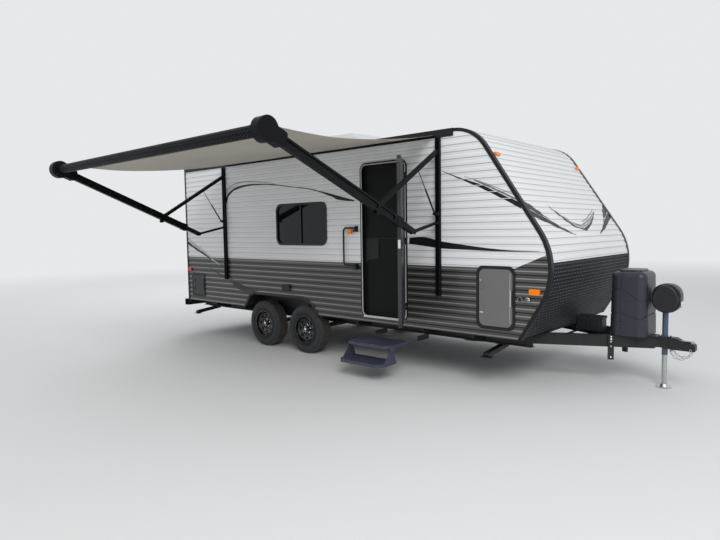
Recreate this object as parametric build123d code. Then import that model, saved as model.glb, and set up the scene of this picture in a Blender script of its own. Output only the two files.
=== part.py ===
from build123d import *
import math
import os

# Travel caravan, parked on its wheels and its tongue jack, at its real size in millimetres.
# +X points forward to the hitch, +Z up, +Y to the street side; the entry door is on the -Y side.
# The origin is on the ground, under the foot of the tongue jack.

os.makedirs("parts", exist_ok=True)

FIT = 0.3               # clearance of pieces that seat in or on each other
SWING_GAP = 5.0         # clearance round a door leaf in its frame

# Body shell
SIDE_Y = 1219.0         # half the body width of 8 ft, to the crests of the siding
REAR_X = -7078.0        # rear face
SIDING_Z = 561.0        # lower edge of the siding and top of the chassis
ROOF_Z = 2770.0         # top of the roof
CROWN_X = -1572.0       # where the roof line and the front slope would meet
CROWN_R = 457.0
NOSE_X = -596.0         # where the two front slopes would meet
NOSE_Z = 1302.0
NOSE_R = 700.0
TOE_X = -1031.0         # lower front edge, at the siding's bottom
WALL = 45.0             # whole wall, siding included
SKIN = 8.0              # depth of the corrugated siding
SKIN_BASE = 3.0         # sheet and backing left under a groove
RIB_PITCH = 76.2        # spacing of the grooves in the siding
RIB_GROOVE = 44.0       # width of a groove, its sloped sides included
RIB_FLANK = 7.0         # run of each sloped side
FLOOR_T = 50.0
ROOF_T = 60.0
COLOUR_Z = 1286.0       # white siding above, charcoal below
COLOUR_RISE_X = -1107.0 # where the charcoal starts to rise towards the front edge
COLOUR_FRONT_Z = 1450.0 # height of the charcoal at the front edge
GUARD_Z = 1353.0        # top of the tread plate on the front
TRIM_W = 32.0           # black trim along the front edges
TRIM_T = 4.0

# Chassis
RAIL_Y = 889.0          # centre of a main rail
RAIL_W = 76.0
RAIL_H = 125.0
RAIL_WEB = 6.0
CROSS_H = 100.0
CROSS_W = 40.0
TONGUE_DEG = 25.0       # each A-frame rail to the centre line
TONGUE_APEX_X = 35.0    # where the outer faces would meet
TONGUE_TOP_Z = 534.0
TONGUE_H = 127.0
TONGUE_W = 51.0
BRACKET_X = -467.0      # hook-up bracket for the towing gear
BRACKET_Z = 272.0
BUMPER_W = 102.0
BUMPER_GAP = 60.0
BUMPER_IN = 24.0        # from the siding to the end of the bumper
BUMPER_Z = 505.0
BUMPER_WALL = 4.0

# Running gear
AXLE_X = [-5118.0, -4243.0]
TYRE_R = 331.5
TYRE_W = 205.0
TYRE_Y = 1097.5
RIM_R = 184.0           # bead seat
AXLE_R = 30.2
HUB_R = 38.0
SPINDLE_R = 17.0
DRUM_R = 140.0
ARCH = [(-5510, SIDING_Z), (-5400, 725), (-5322, 765), (-4231, 765), (-4061, 690), (-3958, SIDING_Z)]
WELL_DEPTH = 300.0      # how far a wheel well reaches in from the siding
WELL_T = 4.0
ARCH_TRIM = 30.0        # skirt round the arch, on the siding
ARCH_TRIM_T = 5.0

# Openings in the sides: outer edges of their frames
FLANGE = 22.0
FLANGE_T = 6.0
SLEEVE = 6.0
DOOR_X = (-3158.0, -2439.0)
DOOR_Z = (613.0, 2510.0)
DOOR_R = 90.0
DOOR_T = 38.0
DOOR_OPEN_DEG = 124.0
SCREEN_T = 16.0
SCREEN_STILE = 34.0
HINGE_R = 8.0
WINDOW_X = (-4754.0, -3742.0)
WINDOW_Z = (1498.0, 2076.0)
WINDOW_R = 100.0
BED_WINDOW_X = (-2560.0, -1940.0)
BAGGAGE_X = (-1536.0, -1094.0)
BAGGAGE_Z = (644.0, 1308.0)
BAGGAGE_R = 80.0
HATCH_X = (-6953.0, -6577.0)
HATCH_Z = (630.0, 1020.0)
HATCH_R = 36.0
PANEL_T = 34.0

# Grab handle
HANDLE_X = -3222.0
HANDLE_AXIS_Y = -SIDE_Y - 30.0
HANDLE_Z = (1257.0, 1724.0)
HANDLE_REACH = 200.0

# Awning
AWNING_X = [-5956.0, -2002.0]
AWNING_RAIL_W = 60.0
AWNING_RAIL_D = 38.0
AWNING_RAIL_Z = (955.0, 2690.0)
ROLLER_Y = -3650.0
ROLLER_Z = 2495.0
ROLLER_R = 52.0
ROLLER_FLUTES = 10
HEAD_R = 104.0          # round cap at each end of the roller
FABRIC_Z = 2722.0       # where the fabric leaves the wall
FABRIC_SAG = 85.0
FABRIC_T = 3.0
UPPER_PIVOT = (-1262.0, 2540.0)
UPPER_END = (-2280.0, 1925.0)
ELBOW = (-1712.0, 1672.0)
LOWER_PIVOT = (-1285.0, 1762.0)
STRUT_TOP = (-1615.0, 2327.0)
STRUT_FOOT = (-1305.0, 1862.0)
ARM_INNER = 250.0       # length of the inner bar between an arm's box and its elbow

# Tongue
JACK_TUBE_R = 28.5
JACK_LEG_R = 25.4
JACK_TUBE_Z = (346.0, 792.0)
JACK_LEG_TOP = 520.0
JACK_TRAVEL = 250.0
FOOT_R = 76.0
BALL_R = 29.4
BALL_X = 235.0
CHAIN_PIN = (70.0, 404.0)       # pin that the safety chains hang from, in (x, z)
CHAIN_STUD = (250.0, 428.0)     # stud that their front ends are hooked on
CHAIN_PIN_R = 5.7
CHAIN_Y = 62.0
CHAIN_LOW_Z = 326.0
PLATE_T = 6.0
COVER_X = (-507.0, -125.0)
COVER_Y = 235.0
COVER_Z = (TONGUE_TOP_Z + PLATE_T + FIT, 1237.0)

# Entry step
STEP_PIVOT = (-1565.0, 340.0)
STEP_UPPER_Y = (-1670.0, -1275.0)
STEP_UPPER_Z = 400.0
STEP_LOWER_Y = (-1800.0, -1490.0)
STEP_LOWER_Z = 210.0
STEP_X = (-3040.0, -2400.0)
TREAD_T = 36.0
STEP_ARM_Z = (376.0, 398.0)

# Stabilizers
STAB_X = [-6850.0, -1427.0]
STAB_PIVOT_Y = 800.0
STAB_PIVOT_Z = 404.0
STAB_FOOT_Y = 1225.0
STAB_FOOT_Z = 362.0

CORE_Y = SIDE_Y - SKIN          # outer face of a wall's core
INNER_Y = SIDE_Y - WALL         # inner face of a wall


def block(x, y, z):
    """Box between two values along each axis."""
    size = (x[1] - x[0], y[1] - y[0], z[1] - z[0])
    centre = ((x[0] + x[1]) / 2, (y[0] + y[1]) / 2, (z[0] + z[1]) / 2)
    return Pos(*centre) * Box(*size)


def across(sketch, low, high):
    """Outline in (x, z) made solid from y = low to y = high."""
    return extrude(Plane.XZ.offset(-high) * sketch, high - low)


def along(sketch, low, high):
    """Outline in (y, z) made solid from x = low to x = high."""
    return extrude(Plane.YZ.offset(low) * sketch, high - low)


def upright(sketch, low, high):
    """Outline in (x, y) made solid from z = low to z = high."""
    return extrude(Plane.XY.offset(low) * sketch, high - low)


def outline(points, radii=None):
    """Closed outline through corner points, each with its own rounding."""
    if radii is None:
        return make_face(Polyline(*points, close=True))
    return make_face(FilletPolyline(*points, radius=radii, close=True))


def rounded(u, v, radius):
    """Rounded rectangle between two values along each of its axes."""
    place = Pos((u[0] + u[1]) / 2, (v[0] + v[1]) / 2)
    return place * RectangleRounded(u[1] - u[0], v[1] - v[0], radius)


def grow(span, by):
    return (span[0] - by, span[1] + by)


def rod(start, end, radius):
    """Round bar between two points."""
    line = Line(start, end)
    return extrude(Plane(line @ 0, z_dir=line % 0) * Circle(radius), line.length)


def link(start, end, x, depth, bore=0.0):
    """Flat bar with round ends between two pivots given as (y, z)."""
    run = (end[0] - start[0], end[1] - start[1])
    length = math.hypot(*run)
    turn = math.degrees(math.atan2(run[1], run[0]))
    middle = Pos((start[0] + end[0]) / 2, (start[1] + end[1]) / 2) * Rot(0, 0, turn)
    shape = middle * SlotCenterToCenter(length, depth)
    if bore:
        shape -= Pos(*start) * Circle(bore)
        shape -= Pos(*end) * Circle(bore)
    return along(shape, *x)


def mirrored(shape):
    return mirror(shape, Plane.XZ)


def save(name, *solids):
    """Write one node: a single solid, or like solids that stand apart."""
    shapes = [s for item in solids for s in item.solids()]
    body = shapes[0] if len(shapes) == 1 else Compound(children=shapes)
    export_step(body, f"parts/{name}.step")


def body_side(rear=0.0, roof=0.0, front=0.0, floor=0.0):
    """Side view of the body, with each edge moved in by its own amount."""
    slope = math.atan2(NOSE_Z - ROOF_Z, NOSE_X - CROWN_X)
    tuck = math.atan2(SIDING_Z - NOSE_Z, TOE_X - NOSE_X)
    # each edge: a point on it, its direction going round clockwise, and how far it moves in
    edges = [
        (REAR_X, SIDING_Z, math.pi / 2, rear),
        (REAR_X, ROOF_Z, 0.0, roof),
        (CROWN_X, ROOF_Z, slope, front),
        (NOSE_X, NOSE_Z, tuck, front),
        (TOE_X, SIDING_Z, math.pi, floor),
    ]
    lines = []
    for x, z, angle, move in edges:
        inward = (math.sin(angle), -math.cos(angle))
        lines.append((x + inward[0] * move, z + inward[1] * move, math.cos(angle), math.sin(angle)))
    corners = []
    for i, (x1, z1, u1, w1) in enumerate(lines):
        x0, z0, u0, w0 = lines[i - 1]
        t = ((x1 - x0) * w1 - (z1 - z0) * u1) / (u0 * w1 - w0 * u1)
        corners.append((x0 + u0 * t, z0 + w0 * t))
    return outline(corners, [0, 0, CROWN_R - front, NOSE_R - front, 0])


# Where the crown's arc starts on the roof: the roof ends and the front begins there.
crown_turn = math.atan2(ROOF_Z - NOSE_Z, NOSE_X - CROWN_X)
ROOF_FRONT_X = CROWN_X - CROWN_R * math.tan(crown_turn / 2)

# Openings of the right side, each a rounded rectangle in (x, z): outer edges of its frame
OPENINGS_RIGHT = [
    # x span, z span, corner radius
    (DOOR_X, DOOR_Z, DOOR_R),
    (WINDOW_X, WINDOW_Z, WINDOW_R),
    (BAGGAGE_X, BAGGAGE_Z, BAGGAGE_R),
    (HATCH_X, HATCH_Z, HATCH_R),
]
OPENINGS_LEFT = [
    (WINDOW_X, WINDOW_Z, WINDOW_R),
    (BED_WINDOW_X, WINDOW_Z, WINDOW_R),
    (BAGGAGE_X, BAGGAGE_Z, BAGGAGE_R),
]


def opening_cut(x, z, radius):
    """Hole in the wall for a frame, under the frame's flange."""
    hole = rounded(grow(x, -FLANGE), grow(z, -FLANGE), radius - FLANGE / 2)
    return across(hole, -SIDE_Y - 20, -INNER_Y + 40)


def frame_ring(x, z, radius, depth=WALL + 8):
    """Flange on the siding and a sleeve through the wall."""
    hole_x = grow(x, -FLANGE - FIT)
    hole_z = grow(z, -FLANGE - FIT)
    hole_r = radius - FLANGE / 2
    flange = across(rounded(x, z, radius), -SIDE_Y - FLANGE_T, -SIDE_Y)
    sleeve = across(rounded(hole_x, hole_z, hole_r), -SIDE_Y, -SIDE_Y + depth)
    clear = rounded(grow(hole_x, -SLEEVE), grow(hole_z, -SLEEVE), hole_r - SLEEVE / 2)
    return flange + sleeve - across(clear, -SIDE_Y - 50, -SIDE_Y + depth + 50)


def leaf_spans(x, z):
    """Size of a door leaf that swings in a frame."""
    inset = FLANGE + FIT + SLEEVE + SWING_GAP
    return grow(x, -inset), grow(z, -inset)


# Chassis: two I-section main rails, with cross-members and outriggers between and outside them
rail_section = Pos(RAIL_Y, SIDING_Z - RAIL_H / 2) * (
    Rectangle(RAIL_W, RAIL_H)
    - Pos(RAIL_W / 4 + RAIL_WEB / 2, 0) * Rectangle(RAIL_W / 2, RAIL_H - 2 * RAIL_WEB)
    - Pos(-RAIL_W / 4 - RAIL_WEB / 2, 0) * Rectangle(RAIL_W / 2, RAIL_H - 2 * RAIL_WEB)
)
RAIL_FRONT_X = TOE_X - 20
main_rail = along(rail_section, REAR_X, RAIL_FRONT_X)
save("main_rails", main_rail, mirrored(main_rail))

rail_in = RAIL_Y - RAIL_W / 2
rail_out = RAIL_Y + RAIL_W / 2
cross = []
for x in [REAR_X + 20, -6300, -5560, -3900, -3250, -2550, -1980]:
    cross.append(block((x, x + CROSS_W), (-rail_in, rail_in), (SIDING_Z - CROSS_H, SIDING_Z)))
header = (RAIL_FRONT_X - CROSS_W, RAIL_FRONT_X)
cross.append(block(header, (-rail_in, rail_in), (TONGUE_TOP_Z, SIDING_Z)))
for x in [REAR_X + 20, -6300, -5570, -3900, -3250, -2250, -1600]:
    arm = outline([
        (rail_out, SIDING_Z),
        (CORE_Y, SIDING_Z),
        (CORE_Y, SIDING_Z - 40),
        (rail_out, SIDING_Z - CROSS_H),
    ])
    outrigger = along(arm, x, x + CROSS_W / 2)
    cross += [outrigger, mirrored(outrigger)]
save("cross_members", *cross)

# A-frame rails: channels from the main rails to the coupler, with a hook-up bracket on each
tongue_tan = math.tan(math.radians(TONGUE_DEG))
tongue_inner = TONGUE_W / math.cos(math.radians(TONGUE_DEG))
TONGUE_NOSE_X = -90.0


def tongue_y(x):
    """Outer face of an A-frame rail."""
    return (TONGUE_APEX_X - x) * tongue_tan


x_back = TONGUE_APEX_X - rail_in / tongue_tan
x_back_in = TONGUE_APEX_X - (rail_in + tongue_inner) / tongue_tan
rail_plan = outline([
    (x_back, rail_in),
    (TONGUE_NOSE_X, tongue_y(TONGUE_NOSE_X)),
    (TONGUE_NOSE_X, tongue_y(TONGUE_NOSE_X) - tongue_inner),
    (x_back_in, rail_in),
])
tongue_rail = upright(rail_plan, TONGUE_TOP_Z - TONGUE_H, TONGUE_TOP_Z)
web_t = 6 / math.cos(math.radians(TONGUE_DEG))
hollow = outline([
    (x_back - 400, rail_in + 400 * tongue_tan - web_t),
    (TONGUE_NOSE_X + 60, tongue_y(TONGUE_NOSE_X + 60) - web_t),
    (TONGUE_NOSE_X + 60, tongue_y(TONGUE_NOSE_X + 60) - tongue_inner - 10),
    (x_back - 400, rail_in + 400 * tongue_tan - tongue_inner - 10),
])
tongue_rail -= upright(hollow, TONGUE_TOP_Z - TONGUE_H + 8, TONGUE_TOP_Z - 8)
bracket_plan = Pos(BRACKET_X, tongue_y(BRACKET_X) + 12) * Rot(0, 0, -TONGUE_DEG) * Rectangle(60, 24)
tongue_rail += upright(bracket_plan, BRACKET_Z, TONGUE_TOP_Z + 4)
save("aframe_rails", tongue_rail, mirrored(tongue_rail))

# Coupler: pressed nose with the ball socket, and a plate welded on the A-frame rails
nose_side = outline(
    [(-60, 536), (110, 536), (200, 492), (288, 486), (288, 412), (60, 412), (-60, 440)],
    [0, 40, 30, 24, 10, 20, 0],
)
coupler = across(nose_side, -46, 46)
coupler -= across(outline([(-70, 528), (106, 528), (196, 484), (279, 478), (279, 400), (-70, 400)]), -40, 40)
PLATE_BACK_X = -260.0
plate_plan = outline([
    (PLATE_BACK_X, tongue_y(PLATE_BACK_X)),
    (40, 46),
    (40, -46),
    (PLATE_BACK_X, -tongue_y(PLATE_BACK_X)),
    (PLATE_BACK_X, -tongue_y(PLATE_BACK_X) + tongue_inner),
    (-140, 0),
    (PLATE_BACK_X, tongue_y(PLATE_BACK_X) - tongue_inner),
])
coupler += upright(plate_plan, TONGUE_TOP_Z, TONGUE_TOP_Z + PLATE_T)
CHEEK_X = (-240.0, 40.0)    # side plates that tie the rails to the nose
CHEEK_Z = (424.0, TONGUE_TOP_Z + 2)
cheek_turn_x = TONGUE_APEX_X - 46 / tongue_tan
cheek_out = PLATE_T * math.tan(math.radians(TONGUE_DEG / 2))
cheek_plan = outline([
    (CHEEK_X[0], tongue_y(CHEEK_X[0])),
    (cheek_turn_x, 46),
    (CHEEK_X[1], 46),
    (CHEEK_X[1], 46 + PLATE_T),
    (cheek_turn_x + cheek_out, 46 + PLATE_T),
    (CHEEK_X[0], tongue_y(CHEEK_X[0]) + PLATE_T / math.cos(math.radians(TONGUE_DEG))),
])
coupler_cheek = upright(cheek_plan, *CHEEK_Z)
coupler += coupler_cheek + mirrored(coupler_cheek)
socket_body = Pos(BALL_X, 0, 432) * Cylinder(41, 40)
coupler += Pos(0, 0, 14) * socket_body
coupler -= Pos(BALL_X, 0, 438) * Sphere(BALL_R + 1)
coupler -= Pos(BALL_X, 0, 415) * Cylinder(BALL_R + 1, 46)
coupler += block((150, 270), (-14, 14), (484, 506))
coupler += rod((CHAIN_PIN[0], -78, CHAIN_PIN[1]), (CHAIN_PIN[0], 78, CHAIN_PIN[1]), CHAIN_PIN_R)
for side in (-1, 1):
    y = sorted((side * 36, side * 46))
    coupler += block((CHAIN_PIN[0] - 12, CHAIN_PIN[0] + 12), y, (CHAIN_PIN[1] - 6, CHAIN_PIN[1] + 16))
    stud = (CHAIN_STUD[0], side * 44, CHAIN_STUD[1])
    coupler += rod(stud, (stud[0], side * 78, stud[2]), CHAIN_PIN_R)
coupler -= Pos(0, 0, TONGUE_TOP_Z) * Cylinder(JACK_TUBE_R + FIT, 60)
save("coupler", coupler)

# Tongue jack: tube and flange on the coupler plate, motor head on top, and the leg that slides in it
jack = Pos(0, 0, (JACK_TUBE_Z[0] + JACK_TUBE_Z[1]) / 2) * Cylinder(
    JACK_TUBE_R, JACK_TUBE_Z[1] - JACK_TUBE_Z[0])
flange_z = TONGUE_TOP_Z + PLATE_T
jack += upright(RectangleRounded(120, 84, 30), flange_z, flange_z + 8)
jack -= upright(Circle(JACK_LEG_R + FIT), JACK_TUBE_Z[0] - 1, JACK_TUBE_Z[1] - 12)
save("jack_post", jack)

HEAD_X = (-120.0, 150.0)    # motor housing, deeper than the round gear case on its door side
HEAD_Z = (JACK_TUBE_Z[1] + 3, 1095.0)
HEAD_Y = (-70.0, 75.0)
GEAR_CASE = (14.0, 943.0)   # its centre in (x, z)
GEAR_CASE_Y = -124.0
jack_head = across(rounded(HEAD_X, HEAD_Z, 122), *HEAD_Y)
jack_head = fillet(jack_head.edges().filter_by(Axis.Y, reverse=True), 16)
gear_case = across(Pos(*GEAR_CASE) * Ellipse(122, 140), GEAR_CASE_Y, HEAD_Y[0] + 8)
gear_case = fillet(gear_case.edges().group_by(Axis.Y)[0], 14)
jack_head += gear_case
jack_head += upright(Circle(JACK_TUBE_R + 14), JACK_TUBE_Z[1], JACK_TUBE_Z[1] + 60)
save("jack_head", jack_head)

leg = upright(Circle(JACK_LEG_R), 14, JACK_LEG_TOP)
foot = upright(Circle(FOOT_R), 0, 8)
foot += loft([Plane.XY.offset(8) * Circle(44), Plane.XY.offset(34) * Circle(JACK_LEG_R + 4)])
save("jack_leg", leg + foot)

# Bumper: square tube behind the body on two arms from the main rails
BUMPER_X = REAR_X - BUMPER_GAP - BUMPER_W / 2
bumper_len = 2 * (SIDE_Y - BUMPER_IN)
bumper = Pos(BUMPER_X, 0, BUMPER_Z) * Box(BUMPER_W, bumper_len, BUMPER_W)
bumper_bore = BUMPER_W - 2 * BUMPER_WALL
bumper -= Pos(BUMPER_X, 0, BUMPER_Z) * Box(bumper_bore, bumper_len + 2, bumper_bore)
for side in (-1, 1):
    y = sorted((side * (RAIL_Y - 30), side * (RAIL_Y + 30)))
    bumper += block((REAR_X - BUMPER_GAP, REAR_X), y, (BUMPER_Z - 40, BUMPER_Z + 40))
save("rear_bumper", bumper)

# Floor deck between the walls, cut for the wheel wells
well_x = (ARCH[0][0], ARCH[-1][0])
well_in = SIDE_Y - WELL_DEPTH
floor = across(body_side(rear=WALL, front=WALL), -INNER_Y, INNER_Y)
floor &= block((REAR_X, 0), (-SIDE_Y, SIDE_Y), (SIDING_Z, SIDING_Z + FLOOR_T))
for side in (-1, 1):
    y = sorted((side * (well_in - FIT), side * SIDE_Y))
    floor -= block(grow(well_x, 0), y, (SIDING_Z - 10, SIDING_Z + FLOOR_T + 10))
save("floor_deck", floor)

# Side walls, right and left, with their openings
arch_face = outline(ARCH + [(ARCH[-1][0], SIDING_Z - 60), (ARCH[0][0], SIDING_Z - 60)])
arch_cut = across(arch_face, -SIDE_Y - 20, -INNER_Y + 20)
wall_core = across(body_side(), -CORE_Y, -INNER_Y) - arch_cut
wall_right = wall_core
for x, z, radius in OPENINGS_RIGHT:
    wall_right = wall_right - opening_cut(x, z, radius)
wall_left = wall_core
for x, z, radius in OPENINGS_LEFT:
    wall_left = wall_left - opening_cut(x, z, radius)
save("side_wall_right", wall_right)
save("side_wall_left", mirrored(wall_left))

# Rear wall, front wall and roof stand between the side walls
rear_wall = block((REAR_X + SKIN, REAR_X + WALL), (-INNER_Y, INNER_Y), (SIDING_Z, ROOF_Z - ROOF_T))
save("rear_wall", rear_wall)
front_zone = block((ROOF_FRONT_X, 0), (-SIDE_Y, SIDE_Y), (SIDING_Z, ROOF_Z + 10))
front_wall = across(body_side(roof=SKIN, front=SKIN), -INNER_Y, INNER_Y)
front_wall -= across(body_side(roof=ROOF_T, front=WALL, floor=-50), -INNER_Y - 1, INNER_Y + 1)
save("front_wall", front_wall & front_zone)
roof = block((REAR_X + SKIN, ROOF_FRONT_X), (-INNER_Y, INNER_Y), (ROOF_Z - ROOF_T, ROOF_Z))
save("roof_deck", roof)


# Siding: sheets with level grooves at one pitch over the whole height
def groove_levels():
    levels = []
    z = SIDING_Z + RIB_PITCH / 2
    while z < ROOF_Z - RIB_PITCH:
        levels.append(z)
        z += RIB_PITCH
    return levels


def grooved_strip():
    """Section of the side siding in (y, z): flat back, grooved face."""
    points = [(-CORE_Y, SIDING_Z), (-SIDE_Y, SIDING_Z)]
    for z in groove_levels():
        points += [
            (-SIDE_Y, z - RIB_GROOVE / 2),
            (-CORE_Y - SKIN_BASE, z - RIB_GROOVE / 2 + RIB_FLANK),
            (-CORE_Y - SKIN_BASE, z + RIB_GROOVE / 2 - RIB_FLANK),
            (-SIDE_Y, z + RIB_GROOVE / 2),
        ]
    points += [(-SIDE_Y, ROOF_Z), (-CORE_Y, ROOF_Z)]
    return outline(points)


siding = along(grooved_strip(), REAR_X, 0)
siding &= across(body_side(), -SIDE_Y, -CORE_Y)
siding -= arch_cut
colour_zone = across(outline([
    (REAR_X - 10, COLOUR_Z),
    (COLOUR_RISE_X, COLOUR_Z),
    (NOSE_X - 130, COLOUR_FRONT_Z),
    (0, COLOUR_FRONT_Z),
    (0, ROOF_Z + 100),
    (REAR_X - 10, ROOF_Z + 100),
]), -SIDE_Y - 20, -CORE_Y + 1)
siding_right = siding
for x, z, radius in OPENINGS_RIGHT:
    siding_right = siding_right - opening_cut(x, z, radius)
siding_left = siding
for x, z, radius in OPENINGS_LEFT:
    siding_left = siding_left - opening_cut(x, z, radius)

rear_points = [(REAR_X + SKIN, SIDING_Z), (REAR_X, SIDING_Z)]
for z in groove_levels():
    rear_points += [
        (REAR_X, z - RIB_GROOVE / 2),
        (REAR_X + SKIN - SKIN_BASE, z - RIB_GROOVE / 2 + RIB_FLANK),
        (REAR_X + SKIN - SKIN_BASE, z + RIB_GROOVE / 2 - RIB_FLANK),
        (REAR_X, z + RIB_GROOVE / 2),
    ]
rear_points += [(REAR_X, ROOF_Z), (REAR_X + SKIN, ROOF_Z)]
siding_rear = across(outline(rear_points), -INNER_Y, INNER_Y)
rear_white = siding_rear & block((REAR_X - 10, REAR_X + 50), (-SIDE_Y, SIDE_Y), (COLOUR_Z, ROOF_Z))
rear_dark = siding_rear & block((REAR_X - 10, REAR_X + 50), (-SIDE_Y, SIDE_Y), (SIDING_Z, COLOUR_Z))


def shell(outer, inner, half, z):
    """Skin that follows the front's curve between two heights."""
    skin = across(body_side(roof=outer, front=outer), -half, half)
    skin -= across(body_side(roof=inner, front=inner, floor=-50), -half - 1, half + 1)
    return skin & block((ROOF_FRONT_X, 0), (-SIDE_Y - 50, SIDE_Y + 50), z)


front_white = shell(0, SKIN, INNER_Y, (GUARD_Z, ROOF_Z + 10))

# The same grooves over the curved front, at the same pitch down its outline
front_line = FilletPolyline(
    (ROOF_FRONT_X - 10, ROOF_Z),
    (CROWN_X, ROOF_Z),
    (NOSE_X, NOSE_Z),
    (TOE_X, SIDING_Z),
    radius=[CROWN_R, NOSE_R],
)
groove_section = outline([
    (-RIB_GROOVE / 2, 4),
    (-RIB_GROOVE / 2, 0),
    (-RIB_GROOVE / 2 + RIB_FLANK, SKIN_BASE - SKIN),
    (RIB_GROOVE / 2 - RIB_FLANK, SKIN_BASE - SKIN),
    (RIB_GROOVE / 2, 0),
    (RIB_GROOVE / 2, 4),
])
front_grooves = []
station = 10 + RIB_PITCH / 2
while (front_line @ (station / front_line.length)).Y > GUARD_Z + RIB_GROOVE:
    point = front_line @ (station / front_line.length)
    run = front_line % (station / front_line.length)
    place = Pos(point.X, point.Y) * Rot(0, 0, math.degrees(math.atan2(run.Y, run.X)))
    front_grooves.append(across(place * groove_section, -INNER_Y - 1, INNER_Y + 1))
    station += RIB_PITCH
front_white -= front_grooves
save("siding_white", siding_right & colour_zone, mirrored(siding_left & colour_zone), rear_white, front_white)
save("siding_dark", siding_right - colour_zone, mirrored(siding_left - colour_zone), rear_dark)
save("rock_guard", shell(0, SKIN, INNER_Y, (SIDING_Z, GUARD_Z)))

# Black trim over both front edges, and corner trim at the rear
edge = shell(-TRIM_T, TRIM_W, SIDE_Y + TRIM_T, (SIDING_Z, ROOF_Z + 10))
edge -= across(body_side(floor=-50), -SIDE_Y, SIDE_Y)
edge -= block((ROOF_FRONT_X - 10, 0), (-INNER_Y + 10, INNER_Y - 10), (0, ROOF_Z + 100))
rear_corner = []
for side in (-1, 1):
    piece = block((REAR_X - TRIM_T, REAR_X + 30), (SIDE_Y - 60, SIDE_Y + TRIM_T), (SIDING_Z, ROOF_Z))
    piece -= block((REAR_X, REAR_X + 60), (SIDE_Y - 90, SIDE_Y), (SIDING_Z - 1, ROOF_Z + 1))
    rear_corner.append(piece if side > 0 else mirrored(piece))
save("edge_trim", edge, *rear_corner)

# Rails along the roof's edges: gutter and awning channel
gutter = outline([
    (-SIDE_Y - 14, FABRIC_Z - 12),
    (-SIDE_Y, FABRIC_Z - 12),
    (-SIDE_Y, ROOF_Z),
    (-INNER_Y, ROOF_Z),
    (-INNER_Y, ROOF_Z + 6),
    (-SIDE_Y - 14, ROOF_Z + 6),
])
gutter_right = along(gutter, REAR_X + 31, ROOF_FRONT_X)
save("roof_rails", gutter_right, mirrored(gutter_right))

# Wheel wells: tubs open below and outboard, each with a skirt round its arch
tub_outer = offset(arch_face, -FIT, kind=Kind.INTERSECTION)
tub_inner = offset(arch_face, -FIT - WELL_T, kind=Kind.INTERSECTION)
well = across(tub_outer, -SIDE_Y - ARCH_TRIM_T, -well_in) - across(tub_inner, -SIDE_Y - 20, -well_in - WELL_T)
skirt = offset(arch_face, ARCH_TRIM, kind=Kind.INTERSECTION) - tub_outer
well += across(skirt, -SIDE_Y - ARCH_TRIM_T, -SIDE_Y)
well &= block(grow(well_x, 60), (-SIDE_Y - 20, 0), (SIDING_Z, ROOF_Z))
save("wheel_wells", well, mirrored(well))

# Window frames and their panes
frames = []
panes = []
WINDOWS = [
    # x span, side (-1 right, 1 left)
    (WINDOW_X, -1),
    (WINDOW_X, 1),
    (BED_WINDOW_X, 1),
]
for x, side in WINDOWS:
    ring = frame_ring(x, WINDOW_Z, WINDOW_R)
    inset = FLANGE + FIT + SLEEVE
    middle = (x[0] + x[1]) / 2
    divider_z = grow(WINDOW_Z, -inset + 1)
    ring += block((middle - 12, middle + 12), (-SIDE_Y - 2, -SIDE_Y + 12), divider_z)
    pane = rounded(grow(x, -inset), grow(WINDOW_Z, -inset), WINDOW_R - FLANGE / 2 - SLEEVE / 2)
    glass = across(pane, -SIDE_Y + 14, -SIDE_Y + 18)
    frames.append(ring if side < 0 else mirrored(ring))
    panes.append(glass if side < 0 else mirrored(glass))
save("window_frames", *frames)
save("window_glass", *panes)


# Hinges: knuckles of the frame and of the leaf stand in line on a pin line beside the leaf
def knuckle(x, y, z, radius):
    return upright(Pos(x, y) * Circle(radius), *z)


# Baggage doors and rear hatch, each in its frame and hinged at its front edge
HATCH_AXIS_Y = -SIDE_Y - FLANGE_T - 4.0
HATCH_KNUCKLE = 4.0
HATCH_HINGE_IN = 48.0   # from a leaf's corner to the end of its hinge


def hatch_axis_x(x):
    return leaf_spans(x, x)[0][1] + SWING_GAP / 2


def hatch_frame(x, z, radius):
    ring = frame_ring(x, z, radius)
    leaf_z = leaf_spans(x, z)[1]
    axis_x = hatch_axis_x(x)
    third = (leaf_z[1] - leaf_z[0] - 2 * HATCH_HINGE_IN) / 3
    z0 = leaf_z[0] + HATCH_HINGE_IN + third + FIT
    z1 = z0 + third - 2 * FIT
    ring += knuckle(axis_x, HATCH_AXIS_Y, (z0, z1), HATCH_KNUCKLE)
    ring += block((axis_x, axis_x + 20), (HATCH_AXIS_Y, -SIDE_Y - FLANGE_T), (z0, z1))
    return ring


def hatch_leaf(x, z, radius):
    leaf_x, leaf_z = leaf_spans(x, z)
    axis_x = hatch_axis_x(x)
    face_y = -SIDE_Y - FLANGE_T + 1
    leaf = across(rounded(leaf_x, leaf_z, radius - 18), face_y, face_y + PANEL_T)
    third = (leaf_z[1] - leaf_z[0] - 2 * HATCH_HINGE_IN) / 3
    low = leaf_z[0] + HATCH_HINGE_IN
    for start in (low, low + 2 * third):
        leaf += knuckle(axis_x, HATCH_AXIS_Y, (start, start + third), HATCH_KNUCKLE)
        leaf += block((axis_x - 22, axis_x), (HATCH_AXIS_Y, face_y), (start, start + third))
    for level in (leaf_z[0] + 0.3 * (leaf_z[1] - leaf_z[0]), leaf_z[0] + 0.7 * (leaf_z[1] - leaf_z[0])):
        latch = rounded((leaf_x[0] + 14, leaf_x[0] + 58), (level - 28, level + 28), 10)
        leaf += across(latch, face_y - 8, face_y)
    return leaf


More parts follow.
